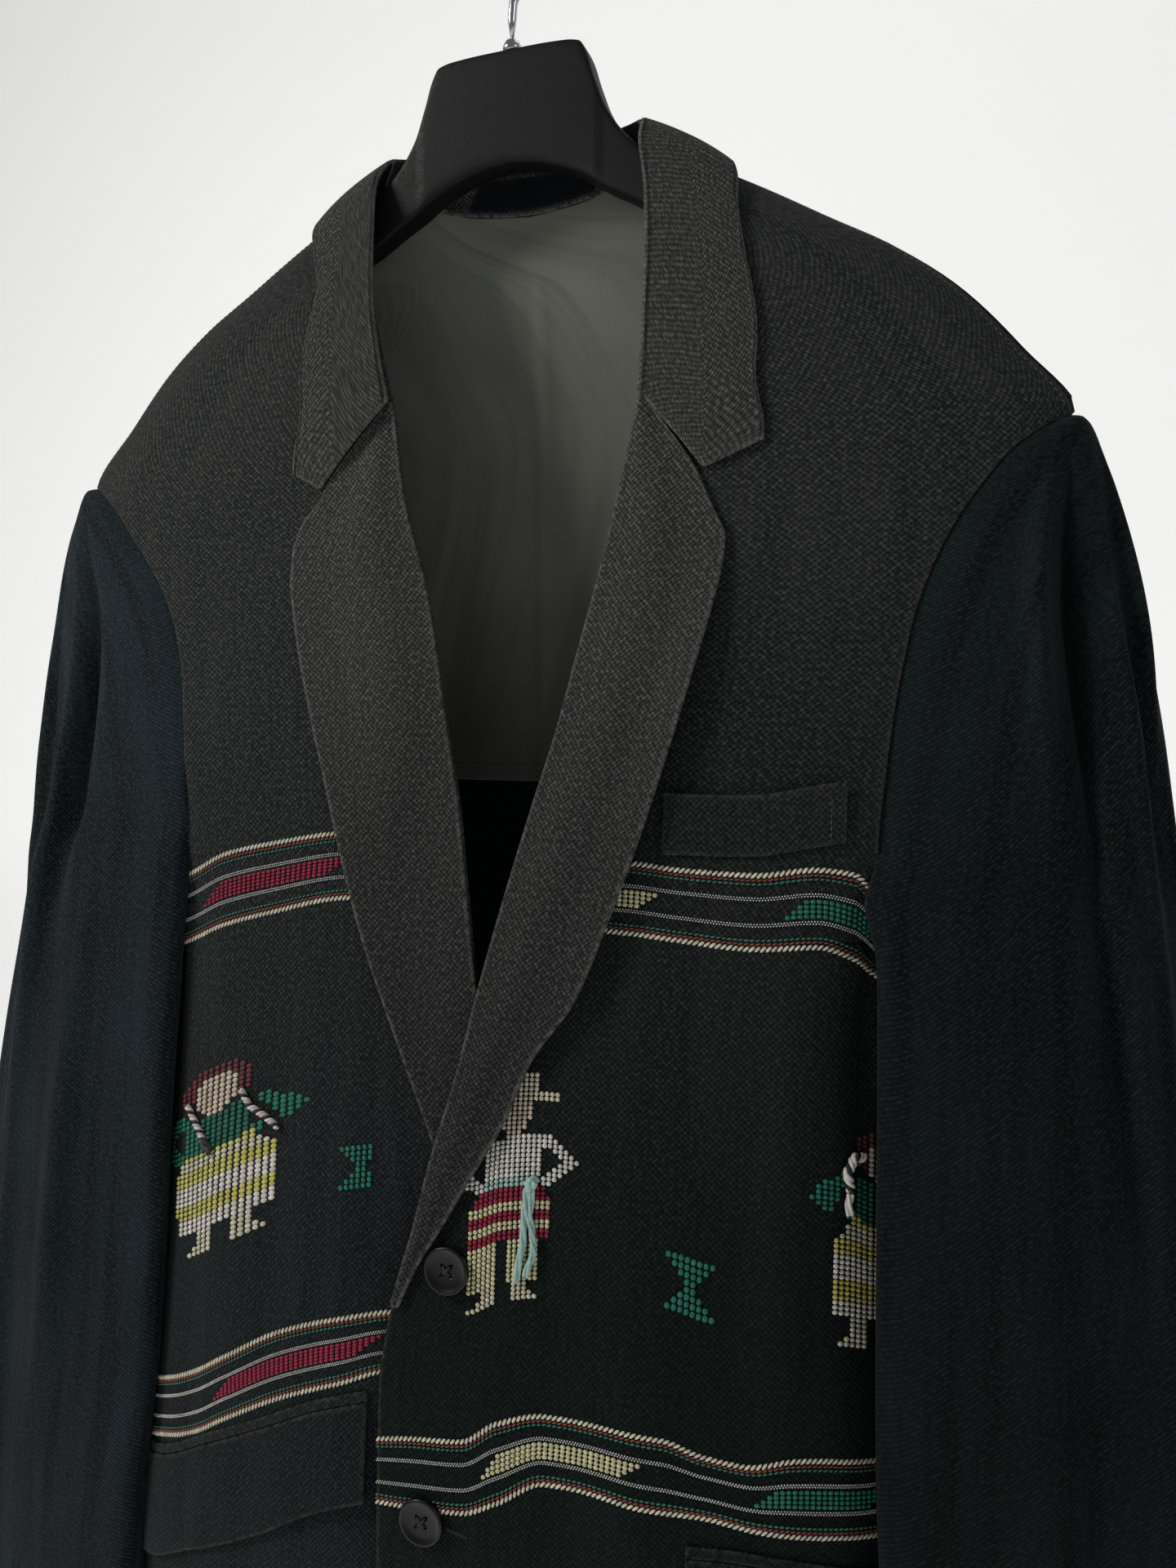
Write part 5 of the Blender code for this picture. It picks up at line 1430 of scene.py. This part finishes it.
# The second woman faces the other way, with some rows woven twice
TWICE = (4, 12, 18, 24, 28, 34)
OTHER_WOMAN = tuple(row[::-1] for k, row in enumerate(WOMAN) for _ in range(1 + (k in TWICE)))
MAN = rows_of(
    (4, "...........kkkkkk........"),
    (2, ".......kkkkkkkkkkkkkk...."),
    (4, "..........ffffff........."),
    (2, "..........fffff.........."),
    (1, "...........fff..........."),
    (1, "...........wwwwwwwww....."),
    (1, "........wwwwwwwwwwwww...."),
    (1, ".......wwwwwwwwwwwwwww..."),
    (1, "..www..wwwwwwwwwww..www.."),
    (1, ".www...wwwwwwwwwww...www."),
    (1, "www....wwwwwwwwwww....www"),
    (1, ".www...wwwwwwwwwww...www."),
    (1, "..www..wwwwwwwwwww..www.."),
    (1, "...www.wwwwwwwwwww.www..."),
    (1, "...wwwwbbbbbbbbbb.www...."),
    (1, ".....wwbbbbbbbbb..ww....."),
    (1, "......rrrrrrrrrrrrr......"),
    (1, ".....rrrrrrrrrrrrrr......"),
    (1, ".....rrrrrrrrrrrrrrr....."),
    (2, "....ssssssssssssssss....."),
    (2, "....rrrrrrrrrrrrrrrr....."),
    (2, "....ssssssssssssssss....."),
    (2, "....rrrrrrrrrrrrrrrr....."),
    (9, "....ssssss..ssssss......."),
    (2, ".......kkk...kkk........."),
    (1, "......kkkk...kkkk........"),
    (1, "....kkkkkk...kkkkk......."),
)
HOURGLASS = rows_of(
    (1, "gggggggg"),
    (1, ".gggggg."),
    (1, "..gggg.."),
    (2, "...gg..."),
    (1, "..gggg.."),
    (1, ".gggggg."),
    (1, "gggggggg"),
)


def weft_line(word, x_from, z):
    """A weft thread's line through a place on a front, between its upper and its lower band."""
    upper, lower = (BANDS[word, name] for name in ("upper", "lower"))
    above, below = smooth(upper, "bottom"), smooth(lower, "top")
    share = np.clip((above(x_from) - z) / (above(x_from) - below(x_from)), 0, 1)
    return lambda x: z + (above(x) - above(x_from)) * (1 - share) + (below(x) - below(x_from)) * share


CHART_END, MIDDLE_ROW = {"left": 207.0, "right": 30.0}, 20


class Chart:
    """A chart laid on a front: its columns stand upright and its rows follow the weft."""

    def __init__(self, word, x_from, z_top, across, down, count):
        """Places the chart's columns a bead apart from x_from."""
        self.word, self.x_from, self.z_top, self.across, self.down = word, x_from, z_top, across, down
        middle = weft_line(word, x_from, z_top - MIDDLE_ROW * down)
        self.columns = paced(word, x_from, CHART_END[word], middle, across)[:count]

    def line(self, row):
        """The weft line through a row of the chart."""
        return weft_line(self.word, self.x_from, self.z_top - (row + 0.5) * self.down)

    def place(self, column, row):
        """The X and Z of places on the chart, given in columns and rows."""
        x = np.interp(column, np.arange(len(self.columns)), self.columns)
        z = np.array([float(self.line(r)(v)) for r, v in zip(np.atleast_1d(row), np.atleast_1d(x))])
        return np.atleast_1d(x), z

    def stitches(self, chart):
        """All the beads of the chart, row by row."""
        rows = []
        for k, text in enumerate(chart):
            kept = [c for c in range(min(len(text), len(self.columns))) if text[c] != "."]
            if kept:
                size = (self.down * 0.51, self.across * 0.46, 0.7)
                letters = [text[c] for c in kept]
                rows.append(lay(self.word, self.columns[kept], self.line(k), size, 90, letters))
        return rows


def band_line(table, place):
    """The line through a band at a place from its top, 0, to its bottom, 1."""
    top, bottom = smooth(table, "top"), smooth(table, "bottom")
    return lambda x: top(x) * (1 - place) + bottom(x) * place


sewn = {"left": [], "right": []}
for (word, name), table in BANDS.items():
    reach = float(half_width(GRAIN_AT, 1 if word == "left" else -1) * math.sin(math.radians(SEAM_TURN)))
    x0, x1 = (table[1][0], reach) if word == "left" else (-reach, table[-1][0])
    if name == "upper":
        x0, x1 = max(x0, -BAND_REACH), min(x1, BAND_REACH)
    for place, length, width, pitch, slant, letter in BAND_ROWS:
        line = band_line(table, place)
        x = paced(word, x0, x1, line, pitch)
        if place in STAGGERED:
            x = x[:-1] + np.diff(x) / 2
        sewn[word].append(lay(word, x, line, (length, width, FLOAT_HEIGHT), slant, letter))
for word, name, start, stop, count, letter in BLOCKS:
    step = (BLOCK_BOTTOM - BLOCK_TOP) / count
    size = (BEAD_ACROSS[word] * 0.48, step * BAND_HEIGHT / 2 * 1.02, 0.65)
    for k in range(count):
        line = band_line(BANDS[word, name], BLOCK_TOP + step * (k + 0.5))
        x = paced(word, start, stop, line, BEAD_ACROSS[word])
        sewn[word].append(lay(word, x[count - 1 - k:len(x) - k], line, size, 0, letter))
left_woman = Chart("left", 156.7, -550.8, 2.95, 2.15, 24)
right_woman = Chart("right", -173.0, -577.0, 4.85, 2.42, 24)
man = Chart("left", 2.9, -545.2, 2.45, 2.18, 25)
sewn["right"] += right_woman.stitches(WOMAN)
sewn["right"] += Chart("right", -54.0, -584.0, 2.9, 2.5, 6).stitches(HOURGLASS)
sewn["left"] += man.stitches(MAN)
sewn["left"] += Chart("left", 101.0, -608.0, 2.8, 3.0, 8).stitches(HOURGLASS)
sewn["left"] += left_woman.stitches(OTHER_WOMAN)
sew("brocade_left", sewn["left"])
sew("brocade_right", sewn["right"])

# %% [markdown]
# ## Braids and a sash
# The women's braids and the man's sash are loose yarn, twisted and caught down on the cloth. Each is
# two or three round strands wound about one path.

# %% Twisted yarn
def ring_faces(count, sides):
    """The faces between rings of points, with both ends closed."""
    k = np.arange(count * sides).reshape(count, sides)
    n = np.roll(k, -1, axis=1)
    faces = np.stack([k[:-1], n[:-1], n[1:], k[1:]], axis=-1).reshape(-1, 4).tolist()
    return [*faces, k[0][::-1].tolist(), k[-1].tolist()]


def paint_thread(made, colours):
    """Keeps each point's thread colour on a piece."""
    kept = made.data.attributes.new("thread", "FLOAT_COLOR", "POINT")
    kept.data.foreach_set("color", np.asarray(colours, np.float32).ravel())


def tube(path, radius, sides, flat):
    """The points and faces of a round tube along a path, with closed ends."""
    way = unit(np.gradient(path, axis=0))
    across = unit(np.cross(way, flat))
    out = np.cross(across, way)
    angle = np.linspace(0, 2 * math.pi, sides, endpoint=False)
    taper = np.clip(np.minimum(np.arange(len(path)), np.arange(len(path))[::-1]) / 1.5 + 0.35, 0, 1)
    ring = across[:, None] * np.cos(angle)[None, :, None] + out[:, None] * np.sin(angle)[None, :, None]
    verts = (path[:, None] + ring * (radius * taper)[:, None, None]).reshape(-1, 3)
    return verts, ring_faces(len(path), sides)


YARN_POINTS, YARN_SIDES, YARN_LOOSE = 70, 7, 1.05


def yarn(name, word, x, z, strands, radius, turns, lift):
    """Strands of yarn wound round a path on a front, one colour letter for each strand."""
    t = np.linspace(0, 1, YARN_POINTS)
    at = np.linspace(0, 1, len(x))
    centre, facing = front_point(word, np.interp(t, at, x), np.interp(t, at, z), lift)
    across = unit(np.cross(unit(np.gradient(centre, axis=0)), facing))
    verts, faces, colours = [], [], []
    for k, letter in enumerate(strands):
        angle = 2 * math.pi * (turns * t + k / len(strands))[:, None]
        path = centre + radius * YARN_LOOSE * (across * np.cos(angle) + facing * np.sin(angle))
        more, sides = tube(path, radius, YARN_SIDES, facing)
        faces += [[q + sum(len(v) for v in verts) for q in face] for face in sides]
        verts.append(more)
        colours.append(np.tile(np.array(linear(THREADS[letter])), (len(more), 1)))
    made = make_mesh(name, np.concatenate(verts), faces, THREAD)
    paint_thread(made, np.concatenate(colours))


# Each piece of yarn: its chart and its strands, radius, turns and lift, with its path on the
# chart's columns and rows
CHARTS = {"right": right_woman, "left": left_woman, "man": man}
YARNS = {
    ("braid_right_near", "right", "wpd", 0.85, 4, 2.0): ((5.3, 6.7, 8.0, 8.8), (5.4, 8.8, 12.0, 14.4)),
    ("tassel_right", "right", "mmm", 1.25, 0.4, 2.2): ((8.8, 9.4, 10.2), (14.2, 15.6, 17.2)),
    ("braid_right_far", "right", "pwd", 0.85, 5, 2.0): ((14.3, 15.7, 17.8, 19.8), (6.5, 10.6, 13.8, 17.4)),
    ("braid_left_near", "left", "wdw", 1.05, 3, 2.4): ((8.6, 6.4, 5.1, 5.8), (5.2, 6.2, 9.4, 13.0)),
    ("tassel_left", "left", "www", 0.9, 0.4, 2.2): ((5.7, 5.5, 5.7), (13.4, 15.4, 17.6)),
    ("braid_left_far", "left", "wdw", 0.85, 4, 2.0): ((17.7, 16.3, 15.0, 14.2), (6.2, 10.2, 14.0, 16.6)),
    ("sash_near", "man", "bbb", 0.85, 1.6, 2.1): ((15.9, 15.2, 15.0, 14.9, 13.7),
                                                  (22.9, 24.5, 29.6, 35.1, 43.5)),
    ("sash_far", "man", "bbb", 0.8, 1.5, 1.9): ((16.3, 15.9, 16.7, 16.9, 15.4),
                                                (23.5, 29.6, 34.4, 37.4, 42.5)),
    ("sash_knot", "man", "bb", 1.4, 0.8, 2.0): ((15.2, 16.1, 17.0), (23.6, 22.6, 22.6)),
}
for (name, figure, strands, radius, turns, lift), (columns, rows) in YARNS.items():
    chart = CHARTS[figure]
    x, z = chart.place(columns, rows)
    yarn(name, chart.word, x, z, strands, radius, turns, lift)

# %% [markdown]
# ## Seams sewn by hand and machine
# Short dark floats run along the shoulders, the armholes, the breast welt and the lining's hem.
# They are the same beads as the brocade, laid flat and long.

# %% Topstitching
def seam_line(points, facing, pitch, size, letter):
    """Stitches a pitch apart along a path of points with their outward directions."""
    along = travelled(points)
    at = np.arange(pitch / 2, along[-1], pitch)
    places = np.stack([np.interp(at, along, points[:, k]) for k in range(3)], axis=-1)
    out = unit(np.stack([np.interp(at, along, facing[:, k]) for k in range(3)], axis=-1))
    return places, unit(np.gradient(places, axis=0)), out, np.tile(size, (len(at), 1)), dye(letter, len(at))


SEAM_STITCH = np.array([1.0, 0.28, 0.2])
seams = []
for side in (1, -1):
    z = np.linspace(-132, -258, 90)
    turn = shifted(z, np.full(len(z), side * SHOULDER_TURN), -side * 3.2)
    seams.append(seam_line(*on_body(z, turn, CLOTH / 2), 3.0, SEAM_STITCH, "q"))
    word = "left" if side > 0 else "right"
    z = np.linspace(-266, -462, 120)
    turn = shifted(z, armhole_turn(z, side), -side * 3.0)
    seams.append(seam_line(*on_body(z, turn, CLOTH / 2 - 0.1), 3.2, SEAM_STITCH * 0.8, "d"))
x = np.linspace(96, 163, 60)
lift = 1.6 + CLOTH / 2 + SEAM
for key, shift in (("top", -2.4), ("bottom", 1.8)):
    z = smooth(WELT, key)(x) + shift
    seams.append(seam_line(*on_body(z, turn_at(z, x), lift + (0.9 if key == "top" else 0.0)), 2.6,
                           SEAM_STITCH, "d"))
z = np.linspace(-415.5, -437, 20)
seams.append(seam_line(*on_body(z, turn_at(z, np.full(20, 163.0)), lift + 0.4), 2.6, SEAM_STITCH, "q"))
turn = np.linspace(136, 224, 160)
z = np.full(160, LINING_END + 9.0)
places, facing = on_body(z, turn, lining_lift(z, turn) - LINING / 2)
seams.append(seam_line(places, -facing, 3.4, SEAM_STITCH, "l"))
sew("topstitching", seams)

# %% [markdown]
# ## Buttons
# Two dark four-hole buttons, turned with a raised rim. The lower one is sewn through a buttonhole,
# and the hole's end shows beside it. Holes are real, so the thread can cross through them.

# %% Turn and drill the buttons
BUTTONS = (("button_upper", 4.0, -629.5), ("button_lower", -5.5, -742.0))
BUTTON_RADIUS, BUTTON_THICK, HOLE_RADIUS, HOLE_OUT = 10.6, 3.4, 0.95, 2.0
BUTTON_THREAD = "33343a"


def turned(profile, sides, frame_of):
    """Points and faces of a closed profile of (radius, height) pairs turned about a frame's normal."""
    place, normal, across, up = frame_of
    angle = np.linspace(0, 2 * math.pi, sides, endpoint=False)
    verts, rings = [place + normal * profile[0][1]], []
    for radius, height in profile[1:-1]:
        rings.append(len(verts) + np.arange(sides))
        verts += [place + normal * height + radius * (across * math.cos(a) + up * math.sin(a))
                  for a in angle]
    verts.append(place + normal * profile[-1][1])
    faces = [[0, int(rings[0][(k + 1) % sides]), int(rings[0][k])] for k in range(sides)]
    for low, high in zip(rings, rings[1:]):
        for k in range(sides):
            n = (k + 1) % sides
            faces.append([int(low[k]), int(low[n]), int(high[n]), int(high[k])])
    faces += [[len(verts) - 1, int(rings[-1][k]), int(rings[-1][(k + 1) % sides])] for k in range(sides)]
    return np.array(verts), faces


def hard_material(name, colour, roughness, metallic, grain_scale, grain, specular=0.5):
    """A smooth hard material with slight unevenness in its gloss."""
    made, tree, shader = blank_material(name, roughness, metallic)
    place = add_node(tree, "ShaderNodeTexCoord")
    noise = add_node(tree, "ShaderNodeTexNoise", {"Vector": place.outputs["Object"], "Scale": grain_scale,
                                                  "Detail": 3.0})
    shade = add_node(tree, "ShaderNodeMapRange", {0: noise.outputs[0], 1: 0.3, 2: 0.7,
                                                  3: roughness - grain, 4: roughness + grain})
    tree.links.new(shade.outputs[0], shader.inputs["Roughness"])
    shader.inputs["Base Color"].default_value = linear(colour)
    shader.inputs["Specular IOR Level"].default_value = specular
    bump = add_node(tree, "ShaderNodeBump", {"Strength": 0.08, "Distance": 0.0004,
                                             "Height": noise.outputs[0]})
    tree.links.new(bump.outputs[0], shader.inputs["Normal"])
    return made


# Moulded polyester resin: near-black, with a soft highlight that rounds the button's lip
RESIN = hard_material("polyester_button_resin", "0b0b0c", 0.36, 0.0, 420.0, 0.06, 0.3)
# Moulded ABS with a satin grain: a broad, dull sheen along the hanger's shoulders
PLASTIC = hard_material("satin_abs_plastic", "0a0a0b", 0.6, 0.0, 900.0, 0.08, 0.22)
# Chromed steel wire: narrow bright reflections between dark ones
STEEL = hard_material("chromed_steel_wire", "c4c5c8", 0.2, 1.0, 300.0, 0.05)


def button_blank(name, seat):
    """A button's solid before its holes: a rounded back, a raised lip and a dished middle."""
    rim = [(BUTTON_RADIUS - 1.4 + 1.4 * math.sin(a), 1.4 - 1.4 * math.cos(a))
           for a in np.radians(np.linspace(0, 90, 7))]
    lip = [(BUTTON_RADIUS - 1.0 + 1.0 * math.cos(a), BUTTON_THICK - 1.0 + 1.0 * math.sin(a))
           for a in np.radians(np.linspace(0, 130, 9))]
    dish = [(BUTTON_RADIUS - 2.6, 2.75), (BUTTON_RADIUS - 3.4, 2.45), (5.0, 2.3), (3.6, 2.2)]
    verts, faces = turned([(0, 0), *rim, *lip, *dish, (0, 2.2)], 56, seat)
    return make_mesh(name + "_blank", verts, faces, RESIN)


def drilled(name, solid, seat):
    """The button with its four holes cut through."""
    place, normal, across, up = seat
    drills = []
    for a, b in ((-1, -1), (-1, 1), (1, -1), (1, 1)):
        centre = place + (across * a + up * b) * HOLE_OUT - normal * 2
        verts, faces = turned([(0, 0), (HOLE_RADIUS, 0), (HOLE_RADIUS, 8), (0, 8)], 16,
                              (centre, normal, across, up))
        drills.append(make_mesh("drill", verts, faces, RESIN))
        cutter = solid.modifiers.new("hole", "BOOLEAN")
        cutter.operation, cutter.solver, cutter.object = "DIFFERENCE", "EXACT", drills[-1]
    result = bpy.data.meshes.new_from_object(solid.evaluated_get(bpy.context.evaluated_depsgraph_get()))
    solid.modifiers.clear()
    for spare in (solid, *drills):
        bpy.data.objects.remove(spare)
    button = bpy.data.objects.new(name + "_resin", result)
    scene.collection.objects.link(button)
    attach(button, "root")
    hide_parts(name)


def crossed_thread(name, seat):
    """Two strands that cross through the holes and bow over the button's middle."""
    place, normal, across, up = seat
    run = np.linspace(-1, 1, 15)[:, None]
    for k, b in enumerate((1, -1)):
        arch = 3.0 - 1.9 * run ** 4 + 0.35 * k * (1 - run ** 2)
        path = place + (across + up * b) * HOLE_OUT * run + normal * arch
        verts, faces = tube(path, 0.42, 8, normal)
        strand = make_mesh("%s_thread_%d" % (name, k), verts, faces, THREAD)
        paint_thread(strand, np.tile(linear(BUTTON_THREAD), (len(verts), 1)))


for name, x, z in BUTTONS:
    place, normal = on_body(z, turn_at(z, x), CLOTH / 2 + SEAM)
    across = unit(np.cross(normal, np.array([0, 0, 1.0])))
    seat = (place, normal, across, np.cross(across, normal))
    drilled(name, button_blank(name, seat), seat)
    crossed_thread(name, seat)
x = np.linspace(5.5, 15.5, 12)
z = np.interp(x, [5.5, 15.5], [-743.5, -745.5])
places, facing = on_body(z, turn_at(z, x), CLOTH / 2 + 0.1)
sew("buttonhole_end", [seam_line(places, facing, 0.75, np.array([0.36, 1.15, 0.4]), "o")])
print("buttons:", [b[0] for b in BUTTONS])

# %% [markdown]
# ## The hanger
# A black suit hanger: a wide neck that arches over the collar and two broad arms inside the
# shoulders. Its section is a rounded box that grows rounder along the arms.

# %% The hanger and its hook
HANGER = (
    ("x", "top", "bottom", "thick", "boxy"),
    (0, -70.5, -123, 15, 9),
    (15, -70.6, -125, 15, 9),
    (29, -71.2, -129.5, 15, 9),
    (36, -72.6, -132.5, 15, 9),
    (39.5, -78, -134.5, 15, 9),
    (43.5, -90, -137, 15, 9),
    (49.5, -105, -141, 14, 9),
    (57, -116, -145, 14, 8),
    (64, -123, -149, 14, 7),
    (72, -129, -154, 14, 6),
    (80, -133, -158, 15, 5),
)
ARM_FROM, ARM_TO, ARM_CLEAR, ARM_HEIGHT, ARM_THICK, ARM_BOXY = 96.0, 206.0, 2.7, 26.0, 20.0, 3.6
HANGER_SIDES = 40
FERRULE_RADIUS, HOOK_RADIUS, WIRE, HOOK_START, HOOK_STOP = 4.6, 19.0, 2.2, -55.0, 196.0
HOOK_SHANK = ((0.0, -63.6), (0.0, -54.0), (0.6, -47.0), (3.6, -41.0), (8.6, -36.2))


def hanger_table(side):
    """The hanger's sections on one side, with the arms following the shoulder they carry."""
    rows = BACK_ROWS[BACK_ROWS >= SHOULDER_END]
    arm = []
    for x in np.linspace(ARM_FROM, ARM_TO, 8):
        top = float(np.interp(x, half_width(rows, side), rows)) - ARM_CLEAR
        arm.append((x, top, top - ARM_HEIGHT, ARM_THICK, ARM_BOXY))
    return HANGER + tuple(arm)


def hanger_side(side, places):
    """Rings of points along one side of the hanger."""
    table = hanger_table(side)
    top, bottom, thick, boxy = (smooth(table, name)(places)[:, None] for name in HANGER[0][1:])
    angle = np.linspace(0, 2 * math.pi, HANGER_SIDES, endpoint=False)[None, :]
    c, s = np.cos(angle), np.sin(angle)
    y = thick / 2 * np.sign(c) * np.abs(c) ** (2 / boxy)
    z = (top + bottom) / 2 + (top - bottom) / 2 * np.sign(s) * np.abs(s) ** (2 / boxy)
    return np.stack([np.broadcast_to(side * places[:, None], y.shape), y, z], axis=-1)


places = np.concatenate([np.linspace(0, 34, 18)[1:], np.linspace(34, 60, 40)[1:],
                         np.linspace(60, ARM_TO, 60)[1:]])
rings = np.concatenate([hanger_side(-1, places[::-1]), hanger_side(1, np.array([0.0])),
                        hanger_side(1, places)])
made = make_mesh("hanger_body_plastic", rings.reshape(-1, 3), ring_faces(len(rings), HANGER_SIDES), PLASTIC)
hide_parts("hanger_body")
upright = (np.array([0, 0, HANGER[1][1] + SEAM]), np.array([0, 0, 1.0]), np.array([1.0, 0, 0]),
           np.array([0, 1.0, 0]))
verts, faces = turned([(0, 0), (FERRULE_RADIUS, 0), (FERRULE_RADIUS, 2.9), (FERRULE_RADIUS - 0.3, 3.5),
                       (3.6, 5.2), (3.1, 5.7), (2.5, 6.1), (0, 6.1)], 48, upright)
made = make_mesh("hanger_ferrule_steel", verts, faces, STEEL)
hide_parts("hanger_ferrule")
arc = np.radians(np.linspace(HOOK_START, HOOK_STOP, 60))
centre = WIRE - HOOK_RADIUS
path = np.array([(x, 0, z) for x, z in HOOK_SHANK]
                + [(HOOK_RADIUS * math.cos(a), 0, centre + HOOK_RADIUS * math.sin(a)) for a in arc])
verts, faces = tube(path, WIRE, 20, np.array([0, 1.0, 0]))
made = make_mesh("hanger_hook_steel", verts, faces, STEEL)
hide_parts("hanger_hook")
print("hanger sections:", rings.shape[0])
